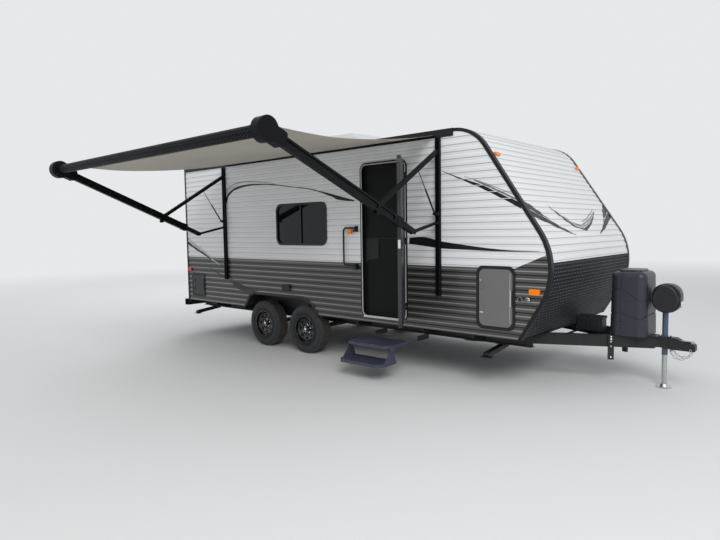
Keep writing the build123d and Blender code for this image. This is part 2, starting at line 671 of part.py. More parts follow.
# Entry door: the outer leaf swings out on the hinges at the frame's front edge, and the screen
# leaf behind it swings on the same pins. The outer leaf stands open.
DOOR_AXIS = (DOOR_X[1] - 23.0, -SIDE_Y - 17.0)
HINGE_LEVELS = [800.0, 1560.0, 2320.0]
HINGE_HALF = 13.0
leaf_x, leaf_z = leaf_spans(DOOR_X, DOOR_Z)
LEAF_R = DOOR_R - 20
LEAF_FACE_Y = -SIDE_Y - 9.0
SCREEN_FACE_Y = LEAF_FACE_Y + DOOR_T + SWING_GAP + 1

door_ring = frame_ring(DOOR_X, DOOR_Z, DOOR_R)
for level in HINGE_LEVELS:
    lower_knuckle = (level - 3 * HINGE_HALF, level - HINGE_HALF - FIT)
    upper_knuckle = (level + HINGE_HALF + FIT, level + 3 * HINGE_HALF)
    for z in (lower_knuckle, upper_knuckle):
        door_ring += knuckle(*DOOR_AXIS, z, HINGE_R)
        door_ring += block((DOOR_AXIS[0], DOOR_AXIS[0] + 20), (DOOR_AXIS[1], -SIDE_Y - FLANGE_T), z)
handle_blocks = []
for z in HANDLE_Z:
    post = block((HANDLE_X - 24, HANDLE_X + 24), (-SIDE_Y - 52, -SIDE_Y), (z - 50, z - 14 - FIT))
    post += block((HANDLE_X - 24, HANDLE_X + 24), (-SIDE_Y - 10, -SIDE_Y), (z - 50, z + 24))
    handle_blocks.append(post)
save(
    "door_frames",
    door_ring,
    hatch_frame(BAGGAGE_X, BAGGAGE_Z, BAGGAGE_R),
    mirrored(hatch_frame(BAGGAGE_X, BAGGAGE_Z, BAGGAGE_R)),
    hatch_frame(HATCH_X, HATCH_Z, HATCH_R),
    *handle_blocks,
)
save("baggage_door_right", hatch_leaf(BAGGAGE_X, BAGGAGE_Z, BAGGAGE_R))
save("baggage_door_left", mirrored(hatch_leaf(BAGGAGE_X, BAGGAGE_Z, BAGGAGE_R)))
save("rear_hatch", hatch_leaf(HATCH_X, HATCH_Z, HATCH_R))

door = across(rounded(leaf_x, leaf_z, LEAF_R), LEAF_FACE_Y, LEAF_FACE_Y + DOOR_T)
for level in HINGE_LEVELS:
    z = (level - HINGE_HALF, level - FIT / 2)
    door += knuckle(*DOOR_AXIS, z, HINGE_R)
    door += block((DOOR_AXIS[0] - 60, DOOR_AXIS[0]), (DOOR_AXIS[1] + 3, LEAF_FACE_Y), z)
lock_z = (leaf_z[0] + 0.42 * (leaf_z[1] - leaf_z[0]), leaf_z[0] + 0.42 * (leaf_z[1] - leaf_z[0]) + 130)
door += across(rounded((leaf_x[0] + 22, leaf_x[0] + 92), lock_z, 12), LEAF_FACE_Y - 12, LEAF_FACE_Y)
swing = Pos(*DOOR_AXIS, 0) * Rot(0, 0, DOOR_OPEN_DEG) * Pos(-DOOR_AXIS[0], -DOOR_AXIS[1], 0)
save("entry_door", swing * door)

screen = across(rounded(leaf_x, leaf_z, LEAF_R), SCREEN_FACE_Y, SCREEN_FACE_Y + SCREEN_T)
pocket_x = grow(leaf_x, -SCREEN_STILE)
screen_mid = leaf_z[0] + 0.5 * (leaf_z[1] - leaf_z[0])
for z in ((leaf_z[0] + SCREEN_STILE, screen_mid - 40), (screen_mid + 40, leaf_z[1] - SCREEN_STILE)):
    screen -= across(rounded(pocket_x, z, 30), SCREEN_FACE_Y - 1, SCREEN_FACE_Y + SCREEN_T / 2 - 1)
    screen -= across(rounded(pocket_x, z, 30), SCREEN_FACE_Y + SCREEN_T / 2 + 1, SCREEN_FACE_Y + SCREEN_T + 1)
strap_x = (DOOR_AXIS[0] - 9.0, DOOR_AXIS[0] - 7.0)
for level in HINGE_LEVELS:
    z = (level + FIT / 2, level + HINGE_HALF)
    screen += knuckle(*DOOR_AXIS, z, HINGE_R)
    screen += block(strap_x, (DOOR_AXIS[1], SCREEN_FACE_Y + SCREEN_T), z)
    screen += block((leaf_x[1] - 10, strap_x[1]), (SCREEN_FACE_Y + 4, SCREEN_FACE_Y + SCREEN_T), z)
save("screen_door", screen)

# Axles, springs and wheels
axles = []
for x in AXLE_X:
    axle = rod((x, -TYRE_Y + 140, TYRE_R), (x, TYRE_Y - 140, TYRE_R), AXLE_R)
    axle += rod((x, -TYRE_Y - 10, TYRE_R), (x, TYRE_Y + 10, TYRE_R), SPINDLE_R)
    for side in (-1, 1):
        seat = sorted((side * (RAIL_Y - 24), side * (RAIL_Y + 24)))
        axle += block((x - 45, x + 45), seat, (TYRE_R, TYRE_R + AXLE_R + 4))
    axles.append(axle)
save("axles", *axles)

SPRING_EYE = 330.0
SPRING_EYE_Z = 402.0
SPRING_Z = TYRE_R + AXLE_R + 4
springs = []
for x in AXLE_X:
    bow = [(x - SPRING_EYE, SPRING_EYE_Z), (x, SPRING_Z + 4), (x + SPRING_EYE, SPRING_EYE_Z)]
    lower = ThreePointArc(*bow)
    upper = ThreePointArc(*[(u, w + 9) for u, w in bow])
    main_leaf = make_face([lower, upper, Line(lower @ 0, upper @ 0), Line(lower @ 1, upper @ 1)])
    spring = across(main_leaf, RAIL_Y - 22, RAIL_Y + 22)
    spring += block((x - 55, x + 55), (RAIL_Y - 22, RAIL_Y + 22), (SPRING_Z, SPRING_Z + 34))
    second_z = (SPRING_EYE_Z - 15, SPRING_EYE_Z - 6)
    second = make_face([
        ThreePointArc((x - 200, second_z[0]), (x, SPRING_Z + 12), (x + 200, second_z[0])),
        Line((x + 200, second_z[0]), (x + 200, second_z[1])),
        ThreePointArc((x + 200, second_z[1]), (x, SPRING_Z + 24), (x - 200, second_z[1])),
        Line((x - 200, second_z[1]), (x - 200, second_z[0])),
    ])
    spring += across(second, RAIL_Y - 22, RAIL_Y + 22)
    for end in (-1, 1):
        eye = Pos(x + end * SPRING_EYE, 0) * Pos(0, SPRING_EYE_Z + 6)
        spring += across(eye * Circle(17), RAIL_Y - 22, RAIL_Y + 22)
    for end in (-1, 1):
        eye = Pos(x + end * SPRING_EYE, 0) * Pos(0, SPRING_EYE_Z + 6)
        spring -= across(eye * Circle(8), RAIL_Y - 23, RAIL_Y + 23)
    springs += [spring, mirrored(spring)]
save("leaf_springs", *springs)

TYRE_BEAD_IN = RIM_R + FIT
rims = {}
for label, x in (("rear", AXLE_X[0]), ("front", AXLE_X[1])):
    half = TYRE_W / 2
    tyre_section = outline(
        [
            (TYRE_BEAD_IN, -half + 18), (TYRE_R - 40, -half), (TYRE_R, -half + 22),
            (TYRE_R, half - 22), (TYRE_R - 40, half), (TYRE_BEAD_IN, half - 18),
            (TYRE_BEAD_IN, half - 34), (TYRE_R - 22, half - 26),
            (TYRE_R - 22, -half + 26), (TYRE_BEAD_IN, -half + 34),
        ],
        [6, 30, 18, 18, 30, 6, 4, 14, 14, 4],
    )
    # section drawn as (radius, y) with the tyre centred on y = 0
    tyre = revolve(Plane.XY * tyre_section, Axis.Y)
    rim_section = outline([
        (RIM_R + 12, half - 7), (RIM_R + 12, half - 12), (RIM_R, half - 12), (RIM_R, half - 44),
        (RIM_R - 16, half - 60), (RIM_R - 16, -half + 60), (RIM_R, -half + 44), (RIM_R, -half + 12),
        (RIM_R + 12, -half + 12), (RIM_R + 12, -half + 7), (RIM_R - 5, -half + 7), (RIM_R - 5, -half + 42),
        (RIM_R - 21, -half + 58), (RIM_R - 21, half - 62), (RIM_R - 5, half - 46), (RIM_R - 5, half - 7),
    ])
    disc_section = outline([
        (0, 20), (70, 20), (92, 44), (150, 52), (RIM_R - 18, 26), (RIM_R - 18, 20), (146, 45), (96, 38),
        (76, 12), (0, 12),
    ])
    rim = revolve(Plane.XY * rim_section, Axis.Y) + revolve(Plane.XY * disc_section, Axis.Y)
    hub_section = outline([
        (0, 62), (24, 62), (30, 54), (HUB_R, 20), (HUB_R, 12), (DRUM_R, 10), (DRUM_R, -52),
        (DRUM_R - 6, -52), (DRUM_R - 6, 2), (HUB_R, 2), (HUB_R - 8, -30),
        (SPINDLE_R + FIT, -30), (SPINDLE_R + FIT, 20), (0, 20),
    ])
    rim += revolve(Plane.XY * hub_section, Axis.Y)
    slot = SlotCenterToCenter(26, 26)
    for i in range(8):
        cut = across(Rot(0, 0, i * 45.0) * Pos(0, 124) * slot, 14, 80)
        rim -= cut
    for side, y in (("left", TYRE_Y), ("right", -TYRE_Y)):
        flip = 1 if side == "left" else -1
        tyre_at = tyre if flip > 0 else mirrored(tyre)
        rim_at = rim if flip > 0 else mirrored(rim)
        save(f"tyre_{label}_{side}", Pos(x, y, TYRE_R) * tyre_at)
        save(f"wheel_{label}_{side}", Pos(x, y, TYRE_R) * rim_at)

# Brackets under the rails: spring hangers, stabilizer brackets and the step's runners
brackets = []
hanger_x = [AXLE_X[0] - SPRING_EYE, (AXLE_X[0] + AXLE_X[1]) / 2, AXLE_X[1] + SPRING_EYE]
EYE_Z = SPRING_EYE_Z + 6
rail_under = SIDING_Z - RAIL_H
for i, x in enumerate(hanger_x):
    half = 26 if i != 1 else 130
    cheek = outline([
        (x - 34, rail_under), (x + 34, rail_under), (x + half, EYE_Z - 20), (x - half, EYE_Z - 20),
    ])
    hanger = across(cheek, RAIL_Y + 22 + FIT, RAIL_Y + 30) + across(cheek, RAIL_Y - 30, RAIL_Y - 22 - FIT)
    hanger += block((x - 34, x + 34), (RAIL_Y - 30, RAIL_Y + 30), (rail_under - 4, rail_under))
    pins = [x] if i != 1 else [AXLE_X[0] + SPRING_EYE, AXLE_X[1] - SPRING_EYE]
    for pin in pins:
        hanger += rod((pin, RAIL_Y - 36, EYE_Z), (pin, RAIL_Y + 36, EYE_Z), 7.6)
    brackets += [hanger, mirrored(hanger)]
for x in STAB_X:
    seat = block((x - 46, x + 46), (STAB_PIVOT_Y - 40, RAIL_Y + 36), (rail_under - 6, rail_under))
    for edge_x in (x - 46, x + 40):
        ear = outline([
            (STAB_PIVOT_Y - 40, rail_under), (STAB_PIVOT_Y + 70, rail_under),
            (STAB_PIVOT_Y + 22, STAB_PIVOT_Z - 18), (STAB_PIVOT_Y - 22, STAB_PIVOT_Z - 18),
        ])
        seat += along(ear, edge_x, edge_x + 6)
    seat += rod((x - 50, STAB_PIVOT_Y, STAB_PIVOT_Z), (x + 50, STAB_PIVOT_Y, STAB_PIVOT_Z), 7.7)
    brackets += [seat, mirrored(seat)]
for edge_x, side in ((STEP_X[0], -1), (STEP_X[1], 1)):
    x_out = edge_x + side * 6
    runner_y = (-RAIL_Y - 200, -RAIL_Y + 30)
    runner = block(sorted((edge_x + side * FIT, x_out)), runner_y, (STEP_ARM_Z[0] - 6, rail_under))
    lip_x = sorted((edge_x - side * 4, x_out))
    runner += block(lip_x, runner_y, (STEP_ARM_Z[0] - 6, STEP_ARM_Z[0] - FIT))
    brackets.append(runner)
save("rail_brackets", *brackets)

# Stabilizer legs: folding arms with a foot, carried on the brackets
for x, end in zip(STAB_X, ("rear", "front")):
    arm = link((STAB_PIVOT_Y, STAB_PIVOT_Z), (STAB_FOOT_Y - 30, STAB_FOOT_Z), (x - 34, x + 34), 44)
    arm -= link(
        (STAB_PIVOT_Y - 40, STAB_PIVOT_Z - 14), (STAB_FOOT_Y - 40, STAB_FOOT_Z - 14), (x - 28, x + 28), 52
    )
    arm -= along(Pos(STAB_PIVOT_Y, STAB_PIVOT_Z) * Circle(8), x - 50, x + 50)
    arm += block((x - 60, x + 60), (STAB_FOOT_Y - 70, STAB_FOOT_Y + 10), (STAB_FOOT_Z - 28, STAB_FOOT_Z - 22))
    arm += block((x - 34, x - 28), (STAB_FOOT_Y - 50, STAB_FOOT_Y - 10), (STAB_FOOT_Z - 24, STAB_FOOT_Z))
    arm += block((x + 28, x + 34), (STAB_FOOT_Y - 50, STAB_FOOT_Y - 10), (STAB_FOOT_Z - 24, STAB_FOOT_Z))
    save(f"stabilizer_{end}_left", arm)
    save(f"stabilizer_{end}_right", mirrored(arm))


# Entry step: the upper tread rides in the runners, and the lower tread folds over it
TREAD_CLIP = 45.0       # cut off the front corners of a tread


def tread(x, y, top):
    plan = outline([
        (x[0], y[1]), (x[0], y[0] + TREAD_CLIP), (x[0] + TREAD_CLIP, y[0]),
        (x[1] - TREAD_CLIP, y[0]), (x[1], y[0] + TREAD_CLIP), (x[1], y[1]),
    ])
    plate = upright(plan, top - TREAD_T, top)
    return plate - upright(offset(plan, -5, kind=Kind.INTERSECTION), top - TREAD_T - 1, top - 4)


upper = tread(grow(STEP_X, -20), STEP_UPPER_Y, STEP_UPPER_Z)
lower = tread(grow(STEP_X, -9), STEP_LOWER_Y, STEP_LOWER_Z)
for edge_x, side in ((STEP_X[0], 1), (STEP_X[1], -1)):
    x = sorted((edge_x, edge_x + side * 5))
    upper += block(x, (STEP_UPPER_Y[0] + 10, -RAIL_Y - 60), STEP_ARM_Z)
    spacer_x = sorted((edge_x + side * 5, edge_x + side * 22))
    spacer_y = (STEP_PIVOT[0] + 95, STEP_UPPER_Y[1] - 15)
    upper += block(spacer_x, spacer_y, (STEP_UPPER_Z - TREAD_T, STEP_UPPER_Z - 6))
    cheek = outline([
        (STEP_PIVOT[0] - 90, STEP_UPPER_Z - 6), (STEP_PIVOT[0] + 120, STEP_UPPER_Z - 6),
        (STEP_PIVOT[0] + 20, STEP_PIVOT[1] - 18), (STEP_PIVOT[0] - 20, STEP_PIVOT[1] - 18),
    ])
    upper += along(cheek, *x)
    pin_x = sorted((edge_x, edge_x + side * 18))
    upper += rod((pin_x[0], *STEP_PIVOT), (pin_x[1], *STEP_PIVOT), 7.7)
    x = sorted((edge_x + side * 9, edge_x + side * 14))
    cheek = outline([
        (STEP_PIVOT[0] - 18, STEP_PIVOT[1] + 16), (STEP_PIVOT[0] + 18, STEP_PIVOT[1] + 16),
        (STEP_PIVOT[0] + 70, STEP_LOWER_Z - 8), (STEP_PIVOT[0] - 160, STEP_LOWER_Z - 8),
    ])
    lower += along(cheek - Pos(*STEP_PIVOT) * Circle(8), *x)
save("step_upper", upper)
save("step_lower", lower)

# Propane cover on the tongue: a moulded tub that narrows upwards, with two wavy creases round it
# and an upright seam on each side under four latches
COVER_TAPER = 16.0      # each side, over the height
COVER_CORNER = 95.0
COVER_TOP_R = 56.0
COVER_LID = 22.0        # raised panel on top
COVER_CREASE = 6.0      # depth of a crease
CREASE_H = 16.0
COVER_SEAM_X = COVER_X[0] + (COVER_X[1] - COVER_X[0]) / 3
cover_mid = (COVER_X[0] + COVER_X[1]) / 2
cover_len = COVER_X[1] - COVER_X[0]
cover_rim_z = COVER_Z[1] - COVER_LID


def cover_body(inset):
    """Outer form of the cover, moved in by the inset all round."""
    foot = RectangleRounded(cover_len - 2 * inset, 2 * (COVER_Y - inset), COVER_CORNER - inset)
    narrow = inset + COVER_TAPER
    head = RectangleRounded(cover_len - 2 * narrow, 2 * (COVER_Y - narrow), COVER_CORNER - narrow)
    body = loft([Plane((cover_mid, 0, COVER_Z[0])) * foot, Plane((cover_mid, 0, cover_rim_z - inset)) * head])
    return fillet(body.edges().group_by(Axis.Z)[-1], COVER_TOP_R - inset)


def cover_z(share):
    return COVER_Z[0] + share * (COVER_Z[1] - COVER_Z[0])


cover = cover_body(0)
CREASES = [
    # share of the height at the rear edge, the seam, the front corner and the front face
    (0.69, 0.73, 0.54, 0.59),
    (0.33, 0.36, 0.27, 0.36),
]
crease_x = (COVER_X[0] - 9, COVER_SEAM_X, COVER_X[1] - 55, COVER_X[1] + 9)
creases = []
for shares in CREASES:
    upper = [(x, cover_z(share)) for x, share in zip(crease_x, shares)]
    lower = [(x, z - CREASE_H) for x, z in reversed(upper)]
    wave = outline(upper + lower, [0, 90, 50, 0, 0, 50, 90, 0])
    creases.append(cover & across(wave, -COVER_Y - 9, COVER_Y + 9))
seam_slab = block((COVER_SEAM_X - 2, COVER_SEAM_X + 2), (-COVER_Y - 9, COVER_Y + 9), COVER_Z)
seam = cover & seam_slab
for crease in creases:
    cover -= crease - cover_body(COVER_CREASE)
cover -= seam - cover_body(COVER_CREASE)
lid_outline = Pos(cover_mid, 0) * RectangleRounded(cover_len - 150, 2 * COVER_Y - 150, 60)
lid_panel = upright(lid_outline, cover_rim_z - 1, COVER_Z[1])
cover += fillet(lid_panel.edges().group_by(Axis.Z)[-1], 16)
for share in (0.93, 0.60, 0.19, 0.05):
    face_y = COVER_Y - COVER_TAPER * share
    latch = rounded((COVER_SEAM_X - 32, COVER_SEAM_X + 32), (cover_z(share) - 14, cover_z(share) + 14), 6)
    if share > 0.9:
        face_y -= 7
    latch = across(latch, -face_y - 6, -face_y + COVER_CREASE + 8)
    cover += latch + mirrored(latch)
save("propane_cover", cover)

# Battery box on its tray behind the cover, with a lid and a strap over it
BATTERY_X = (-900.0, -620.0)
BATTERY_Y = 95.0
BATTERY_Z = (TONGUE_TOP_Z + PLATE_T, 690.0)
BATTERY_LID = 25.0
STRAP_W = 38.0
battery_mid = (BATTERY_X[0] + BATTERY_X[1]) / 2
battery_base = rounded(BATTERY_X, (-BATTERY_Y, BATTERY_Y), 20)
battery = upright(battery_base, BATTERY_Z[0], BATTERY_Z[1] - BATTERY_LID + 1)
lid_plan = rounded(grow(BATTERY_X, 8), (-BATTERY_Y - 8, BATTERY_Y + 8), 24)
battery += upright(lid_plan, BATTERY_Z[1] - BATTERY_LID, BATTERY_Z[1])
strap_x = (battery_mid - STRAP_W / 2, battery_mid + STRAP_W / 2)
strap = block(strap_x, (-BATTERY_Y - 11, BATTERY_Y + 11), (BATTERY_Z[0], BATTERY_Z[1] + 3))
battery += strap
tray_y = BATTERY_Y - 5
battery += block(BATTERY_X, (-tray_y, tray_y), (TONGUE_TOP_Z, BATTERY_Z[0] + 1))
for side in (-1, 1):
    y = sorted((side * (tray_y - 5), side * (tongue_y(BATTERY_X[0]) - 20)))
    battery += block((BATTERY_X[0] + 20, BATTERY_X[0] + 60), y, (TONGUE_TOP_Z, TONGUE_TOP_Z + 6))
save("battery_box", battery)

# Safety chains: links, each turned a quarter from the last, in a loop from the pin to the stud
LINK_L = 42.0
LINK_W = 24.0
LINK_T = 5.5
link_shape = SlotOverall(LINK_L, LINK_W) - SlotOverall(LINK_L - 2 * LINK_T, LINK_W - 2 * LINK_T)
flat_link = extrude(link_shape, LINK_T / 2, both=True)
chain_path = ThreePointArc(
    (CHAIN_PIN[0], CHAIN_Y, CHAIN_PIN[1]),
    ((CHAIN_PIN[0] + CHAIN_STUD[0]) / 2, CHAIN_Y, CHAIN_LOW_Z),
    (CHAIN_STUD[0], CHAIN_Y, CHAIN_STUD[1]),
)
first_link = LINK_L / 2 - LINK_T - CHAIN_PIN_R - FIT
link_count = 2 * round((chain_path.length - 2 * first_link) / (LINK_L - 2 * LINK_T) / 2) + 1
link_step = (chain_path.length - 2 * first_link) / (link_count - 1)
chain = []
for i in range(link_count):
    along_path = (first_link + i * link_step) / chain_path.length
    place = chain_path @ along_path
    slope = chain_path % along_path
    pitch = math.degrees(math.atan2(-slope.Z, slope.X))
    roll = 90 if i % 2 == 0 else 0
    chain.append(Pos(place) * Rot(0, pitch, 0) * Rot(roll, 0, 0) * flat_link)
save("safety_chains", *chain, *[mirrored(c) for c in chain])

# Awning: rails on the wall, folding arms, roller with its heads, and the fabric
rails = []
arms = []
struts = []
for x in AWNING_X:
    half = AWNING_RAIL_W / 2
    section = rounded((x - half, x + half), (-SIDE_Y - AWNING_RAIL_D, -SIDE_Y), 6)
    section -= rounded((x - half + 14, x + half - 14), (-SIDE_Y - AWNING_RAIL_D - 10, -SIDE_Y - 8), 3)
    rail = upright(section, *AWNING_RAIL_Z)
    for pivot in (UPPER_PIVOT, LOWER_PIVOT, STRUT_FOOT):
        for ear_x in ((x - 24, x - 18), (x + 18, x + 24)):
            ear = outline([
                (-SIDE_Y - 10, pivot[1] - 30), (pivot[0], pivot[1] - 12), (pivot[0] - 12, pivot[1]),
                (pivot[0], pivot[1] + 12), (-SIDE_Y - 10, pivot[1] + 30),
            ])
            rail += along(ear, *ear_x)
        rail += rod((x - 24, *pivot), (x + 24, *pivot), 5.7)
    rails.append(rail)

    reach = (ELBOW[0] - ROLLER_Y, ELBOW[1] - ROLLER_Z)
    span = math.hypot(*reach)
    step = (reach[0] / span, reach[1] / span)
    turn = math.degrees(math.atan2(step[1], step[0]))
    start = (ROLLER_Y + step[0] * 100, ROLLER_Z + step[1] * 100)
    box_run = span - ARM_INNER
    box_end = (ROLLER_Y + step[0] * box_run, ROLLER_Z + step[1] * box_run)
    channel_end = (ROLLER_Y + step[0] * (box_run - 40), ROLLER_Z + step[1] * (box_run - 40))
    arm = link(start, channel_end, (x - 25, x + 25), 90)
    elbow_block = Pos(*channel_end) * Rot(0, 0, turn) * Pos(20, 0) * RectangleRounded(90, 98, 14)
    arm += along(elbow_block, x - 28, x + 28)
    arm += link(box_end, ELBOW, (x - 25, x + 25), 56)
    arm -= link(start, (channel_end[0] - step[0] * 90, channel_end[1] - step[1] * 90), (x + 12, x + 26), 50)
    arm -= along(Pos(*ELBOW) * Rectangle(130, 130), x - 17.3, x + 17.3)
    for ear_x in ((x - 25, x - 17.3), (x + 17.3, x + 25)):
        arm += link(UPPER_END, (UPPER_END[0] + step[1] * 70, UPPER_END[1] - step[0] * 70), ear_x, 40)
    arm += rod((x - 25, *UPPER_END), (x + 25, *UPPER_END), 5.7)
    arm += rod((x - 25, *ELBOW), (x + 25, *ELBOW), 5.7)
    arms.append(arm)
    arms.append(link(ELBOW, LOWER_PIVOT, (x - 16, x + 16), 30, bore=6))
    upper_link = link(UPPER_END, UPPER_PIVOT, (x - 16, x + 16), 46, bore=6)
    upper_link -= along(Pos(*STRUT_TOP) * Rot(0, 0, 31) * Pos(0, -12) * Rectangle(70, 26), x - 9, x + 9)
    strut_eye = (STRUT_TOP[0] + 4, STRUT_TOP[1] - 12)
    upper_link += rod((x - 16, *strut_eye), (x + 16, *strut_eye), 3.7)
    arms.append(upper_link)
    top = (x, STRUT_TOP[0] + 4, STRUT_TOP[1] - 12)
    base = (x, *STRUT_FOOT)
    line = Line(base, top)
    strut = rod(base, line @ 0.55, 10) + rod(line @ 0.5, line @ 0.97, 5)
    strut += along(Pos(top[1], top[2]) * Circle(9), x - 6, x + 6)
    strut -= along(Pos(top[1], top[2]) * Circle(4), x - 7, x + 7)
    strut += along(Pos(base[1], base[2]) * Circle(12), x - 8, x + 8)
    strut -= along(Pos(base[1], base[2]) * Circle(6), x - 12, x + 12)
    struts.append(strut)
save("awning_rails", *rails)
save("awning_arms", *arms)
save("awning_struts", *struts)

roller_x = (AWNING_X[0] + 30, AWNING_X[1] - 30)
roller = rod((roller_x[0], ROLLER_Y, ROLLER_Z), (roller_x[1], ROLLER_Y, ROLLER_Z), ROLLER_R)
for x in AWNING_X:
    head = Pos(ROLLER_Y, ROLLER_Z) * Circle(HEAD_R)
    head += Pos(*start) * Rot(0, 0, turn) * RectangleRounded(190, 132, 30)
    roller += along(head, x - 48, x + 48)
for x in AWNING_X:
    roller -= link(start, ELBOW, (x - 25 - FIT, x + 25 + FIT), 90 + 2 * FIT)
for i in range(ROLLER_FLUTES):
    angle = 2 * math.pi * (i + 0.5) / ROLLER_FLUTES
    flute_y = ROLLER_Y + (ROLLER_R + 2) * math.cos(angle)
    flute_z = ROLLER_Z + (ROLLER_R + 2) * math.sin(angle)
    flute = Pos(flute_y, flute_z) * Circle(6)
    roller -= along(flute, AWNING_X[0] + 48, AWNING_X[1] - 48)
save("awning_roller", roller)

fabric_x = grow(roller_x, -22)
wall_edge = (-SIDE_Y - 14 - FIT, FABRIC_Z)
roll_edge = (ROLLER_Y + 10, ROLLER_Z + ROLLER_R + 4)
sag_point = ((wall_edge[0] + roll_edge[0]) / 2, (wall_edge[1] + roll_edge[1]) / 2 - FABRIC_SAG)
low = ThreePointArc(wall_edge, sag_point, roll_edge)
high = ThreePointArc(*[(p[0], p[1] + FABRIC_T) for p in (wall_edge, sag_point, roll_edge)])
cloth = make_face([low, high, Line(low @ 0, high @ 0), Line(low @ 1, high @ 1)])
save("awning_fabric", along(cloth, *fabric_x))

# Roof: air conditioner and a vent with a lid
AC_X = (-4867.0, -3767.0)
ac_side = outline(
    [(AC_X[0], ROOF_Z + 30), (AC_X[0], ROOF_Z + 230), (AC_X[0] + 160, ROOF_Z + 340),
     (AC_X[1] - 300, ROOF_Z + 340), (AC_X[1], ROOF_Z + 150), (AC_X[1], ROOF_Z + 30)],
    [10, 80, 120, 160, 60, 10],
)
ac = across(ac_side, -350, 350)
flank_edges = ac.edges().filter_by(Axis.Y, reverse=True)
ac = fillet(flank_edges.filter_by_position(Axis.Z, ROOF_Z + 60, ROOF_Z + 400), 40)
ac += block(grow(AC_X, -60), (-300, 300), (ROOF_Z, ROOF_Z + 30))
for i in range(5):
    low = ROOF_Z + 80 + 26 * i
    slots = across(rounded((AC_X[0] + 110, AC_X[0] + 430), (low, low + 12), 5), -360, -338)
    ac -= [slots, mirrored(slots)]
save("air_conditioner", ac)

VENT_X = (-3230.0, -2830.0)
VENT_Y = 200.0
VENT_TOP = ROOF_Z + 60.0
VENT_LID_GAP = 5.0
vent = upright(rounded(VENT_X, (-VENT_Y, VENT_Y), 20), ROOF_Z, VENT_TOP)
vent -= upright(rounded(grow(VENT_X, -12), (-VENT_Y + 12, VENT_Y - 12), 12), ROOF_Z + 8, VENT_TOP + 1)
VENT_AXIS = (VENT_X[0] - 26.0, VENT_TOP + 4.0)
vent += across(Pos(*VENT_AXIS) * Circle(6), -120, -60 - FIT)
vent += across(Pos(*VENT_AXIS) * Circle(6), 60 + FIT, 120)
for y in ((-120, -60 - FIT), (60 + FIT, 120)):
    vent += block((VENT_AXIS[0], VENT_X[0] + 6), y, (VENT_AXIS[1] - 6, VENT_AXIS[1] - 1))
save("vent_base", vent)
lid_rim = rounded(grow(VENT_X, 16), (-VENT_Y - 16, VENT_Y + 16), 30)
lid = upright(lid_rim, VENT_TOP + VENT_LID_GAP, VENT_TOP + 45)
lid = fillet(lid.edges().group_by(Axis.Z)[-1], 18)
for y in ((-60, -1), (1, 60)):
    lid += across(Pos(*VENT_AXIS) * Circle(6), *y)
    lid += block((VENT_AXIS[0], VENT_X[0] - 10), y, (VENT_AXIS[1] + 1, VENT_AXIS[1] + 6))
save("vent_lid", lid)

# Lamps: clearance lamps high on the front slope, markers and porch lamp on the sides, red at the rear
LAMP_DOWN = 375.0       # distance of a clearance lamp down the slope from the crown's corner
slope_out = (math.sin(crown_turn), 0, math.cos(crown_turn))
lamp_x = CROWN_X + LAMP_DOWN * math.cos(crown_turn)
lamp_z = ROOF_Z - LAMP_DOWN * math.sin(crown_turn)
lamp_place = Plane(origin=(lamp_x, 1110, lamp_z), x_dir=(0, 1, 0), z_dir=slope_out)
front_lamp = extrude(lamp_place * RectangleRounded(100, 38, 10), 22)
marker = rounded((-940, -830), (1031, 1091), 14)
marker_right = across(marker, -SIDE_Y - 22, -SIDE_Y)
porch = across(rounded((HANDLE_X - 126, HANDLE_X - 74), (1652, 1708), 10), -SIDE_Y - 30, -SIDE_Y)
save("amber_lamps", marker_right, mirrored(marker_right), porch, front_lamp, mirrored(front_lamp))
red = across(rounded((REAR_X + 38, REAR_X + 130), (1050, 1104), 14), -SIDE_Y - 22, -SIDE_Y)
tail = along(rounded((-1080, -930), (780, 930), 20), REAR_X - 30, REAR_X)
save("red_lamps", red, mirrored(red), tail, mirrored(tail))

# Small fittings on the sides: outlet box, ports, and on the street side the vents and doors
outlet = across(rounded((-4642, -4484), (855, 946), 12), -SIDE_Y - 26, -SIDE_Y)
port_a = across(Pos(-1036, 980) * Circle(24), -SIDE_Y - 16, -SIDE_Y)
port_b = across(Pos(-958, 980) * Circle(24), -SIDE_Y - 16, -SIDE_Y)
fridge_low = mirrored(across(rounded((-3560, -3060), (700, 1060), 16), -SIDE_Y - 18, -SIDE_Y))
heater = mirrored(across(rounded((-6700, -6300), (700, 1100), 16), -SIDE_Y - 16, -SIDE_Y))
for i in range(8):
    low = 728 + 40 * i
    fridge_low -= across(rounded((-3535, -3085), (low, low + 16), 6), SIDE_Y + 8, SIDE_Y + 20)
for i in range(5):
    low = 900 + 34 * i
    heater -= across(rounded((-6660, -6340), (low, low + 14), 5), SIDE_Y + 7, SIDE_Y + 18)
inlet = mirrored(across(Pos(-6200, 850) * Circle(60), -SIDE_Y - 24, -SIDE_Y))
save("utility_fittings", outlet, port_a, port_b, fridge_low, heater, inlet)

# Grab handle beside the door: a bent bar on two wall blocks, folded back along the wall
handle_path = FilletPolyline(
    (HANDLE_X, HANDLE_AXIS_Y, HANDLE_Z[0]),
    (HANDLE_X - HANDLE_REACH, HANDLE_AXIS_Y, HANDLE_Z[0]),
    (HANDLE_X - HANDLE_REACH, HANDLE_AXIS_Y, HANDLE_Z[1]),
    (HANDLE_X, HANDLE_AXIS_Y, HANDLE_Z[1]),
    radius=45,
)
handle = sweep(Plane(handle_path @ 0, z_dir=handle_path % 0) * Circle(11), handle_path)
for z in HANDLE_Z:
    handle += knuckle(HANDLE_X, HANDLE_AXIS_Y, (z - 14, z + 14), 14)
save("grab_handle", handle)
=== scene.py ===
import math

import bmesh
import bpy
from mathutils import Matrix, Vector


